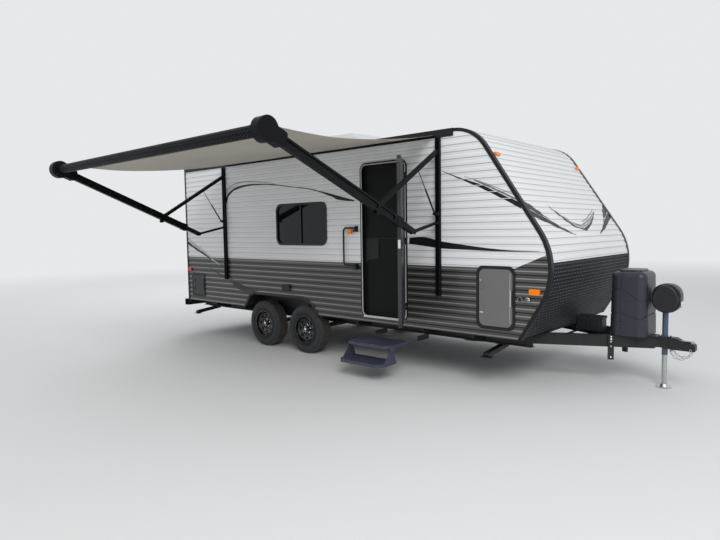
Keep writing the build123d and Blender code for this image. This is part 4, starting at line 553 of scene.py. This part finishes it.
STRIPES_SIDE = [
    # finish, (x, z) along the upper edge, (x, z) along the lower edge, both from the same end
    (vinyl_black,
     [(-5.94, 2.150), (-5.935, 2.215), (-5.885, 2.278), (-5.78, 2.338), (-5.65, 2.375), (-5.49, 2.392),
      (-5.32, 2.397), (-5.15, 2.391), (-4.98, 2.381), (-4.82, 2.366), (-4.67, 2.346), (-4.52, 2.323),
      (-4.34, 2.298), (-4.22, 2.284), (-3.985, 2.245), (-3.87, 2.217), (-3.65, 2.167), (-3.48, 2.123),
      (-3.27, 2.074)],
     [(-5.90, 2.150), (-5.893, 2.205), (-5.85, 2.252), (-5.765, 2.305), (-5.64, 2.340), (-5.49, 2.362),
      (-5.32, 2.373), (-5.15, 2.371), (-4.98, 2.364), (-4.82, 2.350), (-4.67, 2.333), (-4.52, 2.310),
      (-4.34, 2.287), (-4.22, 2.272), (-3.985, 2.230), (-3.87, 2.200), (-3.65, 2.131), (-3.53, 2.085),
      (-3.255, 2.052)]),
    (vinyl_grey,
     [(-5.95, 2.306), (-5.915, 2.347), (-5.83, 2.390), (-5.70, 2.429), (-5.55, 2.443), (-5.37, 2.441),
      (-5.15, 2.424), (-4.93, 2.399), (-4.77, 2.370)],
     [(-5.942, 2.296), (-5.905, 2.335), (-5.822, 2.378), (-5.70, 2.416), (-5.55, 2.430), (-5.37, 2.429),
      (-5.15, 2.413), (-4.93, 2.390), (-4.77, 2.367)]),
    (vinyl_grey,
     [(-5.955, 2.245), (-5.92, 2.300), (-5.83, 2.352), (-5.72, 2.388), (-5.60, 2.405)],
     [(-5.948, 2.236), (-5.912, 2.291), (-5.825, 2.343), (-5.716, 2.380), (-5.60, 2.402)]),
    (vinyl_black,
     [(DOOR_STRIPE_X, 1.598), (-2.20, 1.606), (-1.99, 1.563), (-1.78, 1.534), (-1.56, 1.507),
      (-1.37, 1.488), (-1.15, 1.472), (-0.84, 1.466)],
     [(DOOR_STRIPE_X, 1.528), (-2.24, 1.510), (-1.99, 1.482), (-1.78, 1.474), (-1.56, 1.467),
      (-1.37, 1.461), (-1.15, 1.459), (-0.84, 1.463)]),
    # The next five black pieces leave thin gaps just above the grooves; the white siding in them is a
    # painted reflection on the vinyl.
    (vinyl_black,
     [(-1.988, 2.340), (-1.885, 2.300), (-1.784, 2.259), (-1.695, 2.227)],
     [(-1.988, 2.338), (-1.885, 2.291), (-1.784, 2.245), (-1.743, 2.227)]),
    (vinyl_black,
     [(-1.672, 2.219), (-1.600, 2.193), (-1.540, 2.174), (-1.493, 2.157), (-1.480, 2.151)],
     [(-1.724, 2.219), (-1.685, 2.203), (-1.590, 2.161), (-1.567, 2.151)]),
    (vinyl_black,
     [(-1.463, 2.143), (-1.421, 2.124), (-1.339, 2.084), (-1.320, 2.075)],
     [(-1.548, 2.143), (-1.509, 2.127), (-1.448, 2.098), (-1.401, 2.075)]),
    (vinyl_black,
     [(-1.304, 2.067), (-1.260, 2.046), (-1.190, 2.012), (-1.159, 1.999)],
     [(-1.384, 2.067), (-1.370, 2.060), (-1.290, 2.020), (-1.248, 1.999)]),
    (vinyl_black,
     [(-1.141, 1.991), (-1.120, 1.982), (-1.068, 1.957), (-1.022, 1.934)],
     [(-1.232, 1.991), (-1.215, 1.982), (-1.150, 1.948), (-1.100, 1.920), (-1.040, 1.887)]),
    (vinyl_grey,
     [(-1.572, 2.209), (-1.446, 2.161), (-1.339, 2.112), (-1.234, 2.062), (-1.131, 2.012),
      (-1.060, 1.978)],
     [(-1.572, 2.202), (-1.446, 2.143), (-1.339, 2.094), (-1.234, 2.042), (-1.131, 1.994),
      (-1.060, 1.962)]),
    (vinyl_grey,
     [(-1.685, 2.254), (-1.572, 2.215), (-1.446, 2.170), (-1.308, 2.115), (-1.189, 2.064),
      (-1.080, 2.017)],
     [(-1.685, 2.250), (-1.572, 2.209), (-1.446, 2.163), (-1.308, 2.108), (-1.189, 2.057),
      (-1.080, 2.010)]),
    (vinyl_black,
     [(-7.060, 1.548), (-6.880, 1.470), (-6.700, 1.398), (-6.540, 1.335), (-6.392, 1.272)],
     [(-7.060, 1.500), (-6.880, 1.430), (-6.700, 1.362), (-6.540, 1.306), (-6.392, 1.250)]),
    (vinyl_pale,
     [(-6.392, 1.276), (-6.320, 1.248), (-6.240, 1.214), (-6.150, 1.170)],
     [(-6.392, 1.250), (-6.320, 1.224), (-6.240, 1.196), (-6.150, 1.166)]),
    (vinyl_grey,
     [(-7.060, 1.610), (-6.820, 1.500), (-6.600, 1.400), (-6.400, 1.306)],
     [(-7.060, 1.602), (-6.820, 1.492), (-6.600, 1.393), (-6.400, 1.302)]),
    (vinyl_grey,
     [(-7.060, 1.580), (-6.820, 1.474), (-6.620, 1.384), (-6.440, 1.304)],
     [(-7.060, 1.568), (-6.820, 1.463), (-6.620, 1.375), (-6.440, 1.300)]),
    (vinyl_black,
     [(-6.480, 1.130), (-6.360, 1.098), (-6.266, 1.064), (-6.150, 1.022), (-6.000, 0.968)],
     [(-6.480, 1.128), (-6.360, 1.088), (-6.266, 1.050), (-6.150, 1.005), (-6.000, 0.952)]),
    (vinyl_dusk,
     [(-5.896, 0.960), (-5.717, 0.917), (-5.544, 0.875), (-5.362, 0.840), (-5.185, 0.819)],
     [(-5.896, 0.956), (-5.800, 0.862), (-5.650, 0.806), (-5.450, 0.785), (-5.185, 0.812)]),
]


def groove_depth(level, first, top=math.inf):
    """How far the rolled sheet lies below its crests at one level."""
    away = abs((level - first + RIB_PITCH / 2) % RIB_PITCH - RIB_PITCH / 2)
    if away >= GROOVE / 2 or level > top:
        return 0.0
    return GROOVE_DEPTH * min(1.0, (GROOVE / 2 - away) / FLANK)


def smooth_line(points, count):
    """Even steps along a soft curve through the points."""
    ends = [Vector(points[0]) * 2 - Vector(points[1])] + [Vector(p) for p in points]
    ends.append(ends[-1] * 2 - ends[-2])
    line = []
    for i in range(count + 1):
        t = i / count * (len(points) - 1)
        k = min(int(t), len(points) - 2)
        t -= k
        p0, p1, p2, p3 = ends[k:k + 4]
        line.append(0.5 * (2 * p1 + (p2 - p0) * t + (2 * p0 - 5 * p1 + 4 * p2 - p3) * t * t
                           + (3 * p1 - p0 - 3 * p2 + p3) * t * t * t))
    return line


def cut_at_breaks(bm, first, low, high):
    """Cut a flat stripe along every fold of the grooves that it crosses."""
    level = first + math.floor((low - first) / RIB_PITCH) * RIB_PITCH
    while level < high + RIB_PITCH:
        for offset in (-GROOVE / 2, -GROOVE / 2 + FLANK, GROOVE / 2 - FLANK, GROOVE / 2):
            bmesh.ops.bisect_plane(bm, geom=bm.verts[:] + bm.edges[:] + bm.faces[:],
                                   plane_co=(0, 0, level + offset), plane_no=(0, 0, 1), dist=1e-6)
        level += RIB_PITCH


def stripe_sheet(upper, lower, steps):
    """Flat stripe between two edges, drawn in (x, z)."""
    bm = bmesh.new()
    top = [bm.verts.new((p[0], 0, p[1])) for p in smooth_line(upper, steps)]
    bottom = [bm.verts.new((p[0], 0, p[1])) for p in smooth_line(lower, steps)]
    for i in range(steps):
        bm.faces.new((bottom[i], bottom[i + 1], top[i + 1], top[i]))
    bmesh.ops.remove_doubles(bm, verts=bm.verts, dist=1e-5)
    return bm


for number, (finish, upper, lower) in enumerate(STRIPES_SIDE):
    for side, label in ((-1, "right"), (1, "left")):
        bm = stripe_sheet(upper, lower, 6 * len(upper))
        if label == "left" and upper[0][0] == DOOR_STRIPE_X:
            bmesh.ops.bisect_plane(bm, geom=bm.verts[:] + bm.edges[:] + bm.faces[:],
                                   plane_co=(BED_WINDOW_END, 0, 0), plane_no=(1, 0, 0), clear_inner=True)
        levels = [v.co.z for v in bm.verts]
        cut_at_breaks(bm, SIDING_LOW + RIB_PITCH / 2, min(levels), max(levels))
        for v in bm.verts:
            depth = groove_depth(v.co.z, SIDING_LOW + RIB_PITCH / 2, TOP_GROOVE)
            v.co.y = side * (SIDE_Y - depth + SIDE_LIFT)
        name = f"stripe_{label}_{number}"
        new_piece(name, made_mesh(bm, name, outward=False), "caravan", finish)

# Stripes of the front: the side's swoosh runs on round the edge, mirrored on the two sides, with
# a crescent between.
STRIPES_FRONT = [
    # finish, (y, distance down the slope) along the upper edge, the same along the lower edge
    (vinyl_dusk,
     [(-1.172, 0.954), (-1.089, 0.996), (-0.982, 1.063), (-0.868, 1.153), (-0.739, 1.237),
      (-0.585, 1.306), (-0.369, 1.390)],
     [(-1.172, 1.046), (-1.105, 1.085), (-1.004, 1.128), (-0.866, 1.174), (-0.751, 1.243),
      (-0.597, 1.311), (-0.369, 1.391)]),
    (vinyl_black,
     [(-1.172, 1.066), (-1.091, 1.101), (-0.960, 1.149), (-0.809, 1.211), (-0.661, 1.283),
      (-0.369, 1.390)],
     [(-1.172, 1.160), (-1.094, 1.176), (-0.958, 1.220), (-0.818, 1.268), (-0.679, 1.316),
      (-0.369, 1.396)]),
]
CRESCENT = [
    (vinyl_black,
     [(-0.644, 1.004), (-0.551, 1.067), (-0.451, 1.135), (-0.344, 1.203), (-0.228, 1.268),
      (-0.033, 1.312)],
     [(-0.644, 1.006), (-0.569, 1.081), (-0.482, 1.150), (-0.393, 1.220), (-0.258, 1.286), (0.001, 1.345)]),
    (vinyl_grey,
     [(-0.560, 1.058), (-0.451, 1.120), (-0.344, 1.177), (-0.228, 1.232), (-0.033, 1.266)],
     [(-0.560, 1.061), (-0.451, 1.129), (-0.344, 1.192), (-0.228, 1.252), (-0.033, 1.292)]),
    (vinyl_black,
     [(-0.033, 1.312), (0.211, 1.255), (0.430, 1.180), (0.560, 1.118), (0.640, 1.070)],
     [(0.001, 1.345), (0.239, 1.275), (0.430, 1.198), (0.580, 1.122), (0.655, 1.072)]),
    (vinyl_grey,
     [(-0.040, 1.288), (0.211, 1.234), (0.454, 1.162), (0.603, 1.098)],
     [(-0.034, 1.300), (0.214, 1.246), (0.452, 1.172), (0.612, 1.102)]),
    (vinyl_grey,
     [(-0.014, 1.254), (0.238, 1.199), (0.477, 1.131), (0.663, 1.058)],
     [(-0.030, 1.274), (0.236, 1.219), (0.470, 1.147), (0.663, 1.062)]),
    (vinyl_grey,
     [(0.040, 1.218), (0.238, 1.172), (0.439, 1.112), (0.586, 1.062), (0.692, 1.028)],
     [(0.040, 1.228), (0.238, 1.184), (0.445, 1.122), (0.592, 1.068), (0.692, 1.031)]),
]


def front_stripe(name, finish, upper, lower, side):
    bm = stripe_sheet(upper, lower, 8 * len(upper))
    runs = [v.co.z for v in bm.verts]
    cut_at_breaks(bm, FIRST_GROOVE, min(runs), max(runs))
    for v in bm.verts:
        x, z = front_spot(v.co.z, groove_depth(v.co.z, FIRST_GROOVE) - FRONT_LIFT)
        v.co = (x, v.co.x * side, z)
    new_piece(name, made_mesh(bm, name), "caravan", finish)


for number, (finish, upper, lower) in enumerate(STRIPES_FRONT):
    front_stripe(f"front_stripe_right_{number}", finish, upper, lower, 1)
    front_stripe(f"front_stripe_left_{number}", finish, upper, lower, -1)
for number, (finish, upper, lower) in enumerate(CRESCENT):
    front_stripe(f"front_crescent_{number}", finish, upper, lower, 1)

# Windows: rounded frames in black enamel that clamp the wall, with dark tinted panes that slide in
# them. The frame of the entry has the same finish.
frame_black = coat("frame_black", (0.007, 0.008, 0.009), 0.28, mottle=0.05, grain=0.05, gloss=0.1, shine=0.3)
dress(frame_black, "window_frames", "door_frames")
tinted, glass_tree, glass_shader = plain_finish("tinted_glass", Base_Color=(0.004, 0.005, 0.007, 1),
                                                Roughness=0.04, Specular_IOR_Level=0.3)
ripple = add_node(glass_tree, "TexNoise", {"Scale": 2.5})
ripple_relief = add_node(glass_tree, "Bump", {"Strength": 0.06, "Distance": 0.002,
                                              "Height": ripple.outputs["Fac"]})
glass_tree.links.new(ripple_relief.outputs["Normal"], glass_shader.inputs["Normal"])
dress(tinted, "window_glass")

# Doors: the outer leaf is a charcoal laminated panel, the screen leaf a dark mesh in a thin frame,
# the baggage doors flat grey panels and the rear hatch a black one. The folding grab handle is
# sheathed in black rubber.
door_grey = coat("door_grey", (0.036, 0.038, 0.043), 0.42, mottle=0.05, grain=0.15, shine=0.3)
dress(door_grey, "entry_door")
screen_dark = coat("screen_dark", (0.005, 0.007, 0.006), 0.5, mottle=0.2, patch=0.3, grain=0.25,
                   grain_size=0.0015, shine=0.15)
dress(screen_dark, "screen_door")
panel_grey = coat("panel_grey", (0.150, 0.150, 0.143), 0.42, mottle=0.04, grain=0.1)
dress(panel_grey, "baggage_door_right", "baggage_door_left")
hatch_black = coat("hatch_black", (0.035, 0.040, 0.045), 0.42, mottle=0.05, grain=0.15, shine=0.35)
dress(hatch_black, "rear_hatch")
handle_rubber = coat("handle_rubber", (0.007, 0.007, 0.008), 0.5, grain=0.3, shine=0.3)
dress(handle_rubber, "grab_handle")

# Door fittings: an aluminium jamb and threshold inside the black frame, a slide panel and a lever
# on the screen leaf, the outer leaf's latch and lever, and hinge strips and latches on the baggage
# doors.
aluminium = coat("aluminium", (0.58, 0.585, 0.57), 0.32, metallic=0.55, mottle=0.06, patch=0.2, grain=0.08)
zinc_bright = coat("zinc_bright", (0.72, 0.73, 0.72), 0.25, metallic=0.9, mottle=0.08, patch=0.03,
                   grain=0.06)
DOOR_X = (-3.158, -2.439)
DOOR_Z = (0.613, 2.510)
FRAME_FACE_Y = -1.225
JAMB_INSET = 0.018
JAMB_WIDTH = 0.012
JAMB_R = 0.072
SILL_X = (-3.118, -2.480)
DOOR_AXIS = (-2.462, -1.236)
DOOR_OPEN = math.radians(124)
BAGGAGE_LEAF_X = (-1.5027, -1.1273)
BAGGAGE_LEAF_Z = (0.6773, 1.2747)
LATCHES = [
    # share of the leaf's height, how far it reaches in, half height
    (0.235, 0.052, 0.0075),
    (0.80, 0.028, 0.005),
]
CORNER_STEPS = 8


def corner_line(x, z, radius):
    """Points round a rectangle with rounded corners."""
    line = []
    (left, right), (low, high) = (x[0] + radius, x[1] - radius), (z[0] + radius, z[1] - radius)
    centres = (right, high), (left, high), (left, low), (right, low)
    for quarter, (centre_x, centre_z) in enumerate(centres):
        for i in range(CORNER_STEPS + 1):
            turn = math.radians(90 * quarter + 90 / CORNER_STEPS * i)
            line.append((centre_x + radius * math.cos(turn), centre_z + radius * math.sin(turn)))
    return line


def strip_ring(bm, x, z, radius, width, back, front):
    """Flat ring in the (x, z) plane, from y = back to y = front."""
    outer = corner_line(x, z, radius)
    inner = corner_line((x[0] + width, x[1] - width), (z[0] + width, z[1] - width), radius - width)
    rings = []
    for line, y in ((outer, back), (outer, front), (inner, front), (inner, back)):
        rings.append([bm.verts.new((u, y, w)) for u, w in line])
    count = len(outer)
    for k in range(4):
        for i in range(count):
            here, after = rings[k], rings[(k + 1) % 4]
            bm.faces.new((here[i], here[(i + 1) % count], after[(i + 1) % count], after[i]))


def plate(bm, x, y, z, edge=0.0, place=Matrix.Identity(4)):
    """Block between two values along each axis, with its edges eased."""
    size = Matrix.Diagonal((x[1] - x[0], y[1] - y[0], z[1] - z[0], 1))
    middle = Matrix.Translation(((x[0] + x[1]) / 2, (y[0] + y[1]) / 2, (z[0] + z[1]) / 2))
    made = bmesh.ops.create_cube(bm, size=1.0, matrix=place @ middle @ size)
    if edge:
        edges = {e for v in made["verts"] for e in v.link_edges}
        bmesh.ops.bevel(bm, geom=list(edges), offset=edge, segments=2, affect="EDGES")


def block_piece(name, body, finish, blocks, place=Matrix.Identity(4)):
    """Piece made of blocks given as x, y, z and edge."""
    bm = bmesh.new()
    for x, y, z, edge in blocks:
        plate(bm, x, y, z, edge, place)
    new_piece(name, made_mesh(bm, name), body, finish)


bm = bmesh.new()
strip_ring(bm, (DOOR_X[0] + JAMB_INSET, DOOR_X[1] - JAMB_INSET),
           (DOOR_Z[0] + JAMB_INSET, DOOR_Z[1] - JAMB_INSET), JAMB_R, JAMB_WIDTH, FRAME_FACE_Y,
           FRAME_FACE_Y - 0.0012)
plate(bm, SILL_X, (FRAME_FACE_Y - 0.006, FRAME_FACE_Y + 0.002),
      (DOOR_Z[0] + 0.004, DOOR_Z[0] + 0.029), 0.001)
new_piece("door_jamb", made_mesh(bm, "door_jamb"), "caravan", aluminium)

screen_trim = coat("screen_trim", (0.018, 0.022, 0.021), 0.5, grain=0.2, shine=0.2)
block_piece("screen_slide", "screen_leaf", screen_trim, [
    ((-3.085, -2.512), (-1.1862, -1.1835), (1.590, 1.597), 0.0005),
    ((-3.098, -2.900), (-1.1858, -1.1835), (1.345, 1.588), 0.0005),
])
block_piece("screen_lever", "screen_leaf", handle_rubber, [
    ((-3.112, -3.062), (-1.1872, -1.1845), (1.300, 1.375), 0.001),
    ((-3.100, -2.990), (-1.1888, -1.1860), (1.330, 1.348), 0.001),
])

swing = (Matrix.Translation((*DOOR_AXIS, 0)) @ Matrix.Rotation(DOOR_OPEN, 4, "Z")
         @ Matrix.Translation((-DOOR_AXIS[0], -DOOR_AXIS[1], 0)))
block_piece("door_latch", "outer_door", zinc_bright, [
    ((-3.1256, -3.1240), (-1.222, -1.196), (1.500, 1.590), 0.0003),
    ((-3.1290, -3.1240), (-1.214, -1.204), (1.530, 1.560), 0.0006),
], swing)
block_piece("door_lever", "outer_door", rim_black, [
    ((-3.098, -3.050), (-1.2410, -1.2380), (1.505, 1.585), 0.001),
    ((-3.095, -3.000), (-1.2560, -1.2450), (1.520, 1.538), 0.003),
    ((-3.092, -3.075), (-1.2480, -1.2380), (1.520, 1.538), 0.001),
], swing)

for side, label in ((-1, "right"), (1, "left")):
    face = side * (SIDE_Y + 0.005)
    strip_y = sorted((face, face + side * 0.0025))
    latch_y = sorted((face - side * 0.001, face + side * 0.008))
    (rear_x, front_x), (low_z, high_z) = BAGGAGE_LEAF_X, BAGGAGE_LEAF_Z
    blocks = [((front_x - 0.025, front_x - 0.014), strip_y, (low_z + 0.045, high_z - 0.045), 0.0004)]
    for share, reach, half in LATCHES:
        level = low_z + share * (high_z - low_z)
        blocks.append(((rear_x + 0.010, rear_x + reach), latch_y, (level - half, level + half), 0.0015))
    block_piece(f"baggage_latches_{label}", f"{label}_baggage_door", zinc_bright, blocks)

# Wheel wells: skirts moulded in black plastic, fixed under the siding round the two wheels of each
# side.
well_black = coat("well_black", (0.020, 0.021, 0.020), 0.45, grain=0.3, shine=0.35)
dress(well_black, "wheel_wells")

# Tongue: the gas bottles' cover and the battery box are moulded in dark plastic and stand on the
# A-frame, behind the jack with its painted post. The jack's leg and the safety chains are zinc.
cover_slate = coat("cover_slate", (0.019, 0.023, 0.033), 0.38, mottle=0.10, patch=0.3, grain=0.25,
                   grain_size=0.003)
dress(cover_slate, "propane_cover")
box_black = coat("box_black", (0.011, 0.012, 0.014), 0.42, grain=0.3, shine=0.35)
dress(box_black, "battery_box")
jack_blue = coat("jack_blue", (0.055, 0.085, 0.150), 0.35, mottle=0.08, grain=0.08)
dress(jack_blue, "jack_post")
jack_head_black = coat("jack_head_black", (0.008, 0.009, 0.011), 0.35, grain=0.2, shine=0.4)
dress(jack_head_black, "jack_head")
zinc = coat("zinc", (0.50, 0.54, 0.54), 0.32, metallic=0.9, mottle=0.12, patch=0.04, grain=0.1)
dress(zinc, "jack_leg", "safety_chains")

# Tongue hardware: the jack's work lamp and flange bolts, the coupler's latch lever, and pins through
# the hook-up brackets.
lamp_pale = coat("lamp_pale", (0.66, 0.66, 0.60), 0.18, mottle=0.05, patch=0.01, grain=0.05, gloss=0.6)
bm = bmesh.new()
to_front = Matrix.Translation((0.1495, 0.0, 0.885)) @ Matrix.Rotation(math.pi / 2, 4, "Z")
lathe(bm, [(0.036, 0.0), (0.036, -0.004), (0.031, -0.009), (0.018, -0.013), (0, -0.0145)], 28, to_front)
new_piece("jack_lamp", made_mesh(bm, "jack_lamp"), "caravan", lamp_pale)

FLANGE_Z = 0.548
BRACKET_X = -0.4619
BRACKET_Y = 0.2570
BRACKET_TURN = math.radians(25)
BRACKET_PINS = [
    # height of the pin, radius of its head
    (0.520, 0.011), (0.492, 0.013), (0.464, 0.009), (0.415, 0.008), (0.300, 0.010),
]
bm = bmesh.new()
for x, y in ((-0.044, 0.0), (0.040, -0.024), (0.040, 0.024)):
    upright = Matrix.Translation((x, y, FLANGE_Z)) @ Matrix.Rotation(-math.pi / 2, 4, "X")
    lathe(bm, [(0.0105, 0.0), (0.0105, -0.007), (0, -0.008)], 6, upright)
for side in (-1, 1):
    for level, radius in BRACKET_PINS:
        turn = BRACKET_TURN if side < 0 else math.pi - BRACKET_TURN
        seat = Matrix.Translation((BRACKET_X, side * BRACKET_Y, level)) @ Matrix.Rotation(turn, 4, "Z")
        lathe(bm, [(radius, 0.002), (radius, -0.005), (radius * 0.7, -0.008), (0, -0.008)], 12, seat)
new_piece("tongue_bolts", made_mesh(bm, "tongue_bolts"), "caravan", zinc_bright)
block_piece("coupler_latch", "caravan", zinc, [
    ((0.120, 0.272), (-0.013, 0.013), (0.5055, 0.5145), 0.003),
    ((0.245, 0.275), (-0.018, 0.018), (0.4855, 0.5080), 0.003),
])

# Gutter lip: a black rail moulding along each side, screwed to the wall under the roof rail to shed
# the rain.
GUTTER_X = (-7.055, -1.817)
GUTTER_Z = (2.692, 2.7095)
for side, label in ((-1, "right"), (1, "left")):
    gutter_y = sorted((side * (SIDE_Y + 0.0003), side * (SIDE_Y + 0.012)))
    block_piece(f"gutter_lip_{label}", "caravan", rail_black, [(GUTTER_X, gutter_y, GUTTER_Z, 0.002)])

# Awning: powder-coated black arms on wall rails, with gas struts that hold them out, and a roller
# wound with the rest of the vinyl, whose seams run round it at a slant.
awning_black = coat("awning_black", (0.004, 0.0045, 0.0055), 0.34, mottle=0.06, grain=0.12, shine=0.14)
dress(awning_black, "awning_rails", "awning_arms")
strut_silver = coat("strut_silver", (0.02, 0.02, 0.022), 0.3, metallic=0.3, mottle=0.05)
dress(strut_silver, "awning_struts")
ROLLER = (-3.650, 2.495)
ROLLER_MIDDLE = -3.979
ROLLER_REACH = 1.929
SEAM_COUNT = 12
SEAM_TWIST = 120.0      # radians a metre along the roller


def winding(finish):
    """Seams of the wound vinyl, at a slant all round the roller between its heads."""
    tree = finish.node_tree
    calc = maths(tree)
    x, y, z = add_node(tree, "SeparateXYZ", {"Vector": position(tree)}).outputs
    turn = calc("ARCTAN2", calc("SUBTRACT", z, ROLLER[1]), calc("SUBTRACT", y, ROLLER[0]))
    between = calc("LESS_THAN", calc("ABSOLUTE", calc("SUBTRACT", x, ROLLER_MIDDLE)), ROLLER_REACH)
    phase = calc("ADD", calc("MULTIPLY", turn, SEAM_COUNT), calc("MULTIPLY", x, SEAM_TWIST))
    wave = calc("MULTIPLY", between, calc("SINE", phase))
    bump = add_node(tree, "Bump", {"Strength": 1.0, "Distance": 0.0022, "Height": wave,
                                   "Normal": tree.nodes["relief"].outputs["Normal"]})
    tree.links.new(bump.outputs["Normal"], tree.nodes["Principled BSDF"].inputs["Normal"])


roller_black = coat("roller_black", (0.005, 0.006, 0.009), 0.42, mottle=0.06, grain=0.1, shine=0.1)
winding(roller_black)
dress(roller_black, "awning_roller")

# Awning fabric: taupe woven vinyl, hung from the wall's rail and wound on the roller, pulled
# nearly tight with a slow sag between.
FABRIC_X = (-5.904, -2.054)
WALL_EDGE = (-1.2333, 2.722)
ROLL_EDGE = (-3.640, 2.551)
SAG = 0.085
SAG_STEPS = 60
RIPPLE_STEPS = 96
CLOTH_LIFT = 0.0015
fabric_taupe = coat("fabric_taupe", (0.50, 0.455, 0.40), 0.75, mottle=0.05, patch=0.8, grain=0.5,
                    grain_size=0.002)


def sagging(share):
    """(y, z) of the fabric at a share of its way out from the wall."""
    return (WALL_EDGE[0] + (ROLL_EDGE[0] - WALL_EDGE[0]) * share,
            WALL_EDGE[1] + (ROLL_EDGE[1] - WALL_EDGE[1]) * share - 4 * SAG * share * (1 - share))


def awning_cloth():
    bm = bmesh.new()
    rows = []
    for j in range(SAG_STEPS + 1):
        t = j / SAG_STEPS
        y, z = sagging(t)
        row = []
        for i in range(RIPPLE_STEPS + 1):
            u = i / RIPPLE_STEPS
            x = FABRIC_X[0] + (FABRIC_X[1] - FABRIC_X[0]) * u
            hold = 4 * t * (1 - t)
            fine = 0.004 * hold * math.sin(u * 31 + 2.2 * math.sin(t * 5))
            slow = 0.003 * hold * math.sin(u * 13 + t * 7)
            row.append(bm.verts.new((x, y, z + fine + slow + CLOTH_LIFT)))
        rows.append(row)
    for j in range(SAG_STEPS):
        for i in range(RIPPLE_STEPS):
            face = bm.faces.new((rows[j][i], rows[j][i + 1], rows[j + 1][i + 1], rows[j + 1][i]))
            face.smooth = True
    return made_mesh(bm, "awning_cloth", outward=False)


cloth = new_piece("awning_cloth", awning_cloth(), "caravan", fabric_taupe)
thickness = cloth.modifiers.new("thickness", "SOLIDIFY")
thickness.thickness = 0.001
thickness.offset = 0.0
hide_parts("awning_fabric")

# Roof: white moulded shroud over the air conditioner, with dark plates in the air slots of its
# flanks as painted shade inside them, and the vent with its lid.
shroud_white = coat("shroud_white", (0.70, 0.71, 0.70), 0.4, mottle=0.04, grain=0.1)
dress(shroud_white, "air_conditioner", "vent_base", "vent_lid")
# Dark plates laid on the slots' floors: painted shade inside the air slots.
slot_shade = coat("slot_shade", (0.012, 0.013, 0.014), 0.8, grain=0.2, shine=0.1)
SLOT_X = (-4.755, -4.439)
SLOT_Z = [2.852, 2.878, 2.904, 2.930, 2.956]
slot_shades = []
for slot_y in ((-0.3394, -0.3382), (0.3382, 0.3394)):
    slot_shades += [(SLOT_X, slot_y, (low, low + 0.008), 0.0005) for low in SLOT_Z]
block_piece("air_slot_shade", "caravan", slot_shade, slot_shades)

# Entry step: two treads folded from sheet steel, with a dark blue-grey grip coating, which hang
# under the door.
step_grip = coat("step_grip", (0.046, 0.056, 0.085), 0.55, mottle=0.5, patch=0.012, grain=0.8,
                 grain_size=0.004)
dress(step_grip, "step_upper", "step_lower")

# Lamps and fittings: amber and red lenses, small doors and outlets in black plastic, and two round
# ports rimmed in aluminium, one under a cap and one with four studs.
lens_amber = coat("lens_amber", (0.93, 0.23, 0.0), 0.25, mottle=0.05, patch=0.02, grain=0.1, gloss=0.1,
                  shine=0.3)
lens_red = coat("lens_red", (0.60, 0.015, 0.02), 0.2, mottle=0.05, patch=0.02, grain=0.1, gloss=0.5)
dress(lens_amber, "amber_lamps")
dress(lens_red, "red_lamps")
fitting_black = coat("fitting_black", (0.014, 0.016, 0.018), 0.45, grain=0.2, shine=0.35)
dress(fitting_black, "utility_fittings")
INLET = Vector((-1.036, -SIDE_Y - 0.0155, 0.980))
OUTLET = Vector((-0.958, -SIDE_Y - 0.0155, 0.980))
STUD_CIRCLE = 0.014
bm = bmesh.new()
lathe(bm, [(0.0225, 0.002), (0.0225, -0.003), (0.0250, -0.003), (0.0250, 0.002)], 28,
      Matrix.Translation(INLET))
lathe(bm, [(0.0260, 0.002), (0.0260, -0.002), (0, -0.002)], 28, Matrix.Translation(OUTLET))
new_piece("port_rings", made_mesh(bm, "port_rings"), "caravan", aluminium)
bm = bmesh.new()
for turn in (45, 135, 225, 315):
    out = Vector((math.cos(math.radians(turn)), 0, math.sin(math.radians(turn)))) * STUD_CIRCLE
    stud = OUTLET + out + Vector((0, -0.002, 0))
    lathe(bm, [(0.0075, 0.002), (0.0075, -0.004), (0, -0.004)], 12, Matrix.Translation(stud))
lathe(bm, [(0.0205, 0.002), (0.0205, -0.004), (0.017, -0.006), (0, -0.006)], 28, Matrix.Translation(INLET))
new_piece("port_caps", made_mesh(bm, "port_caps"), "caravan", fitting_black)
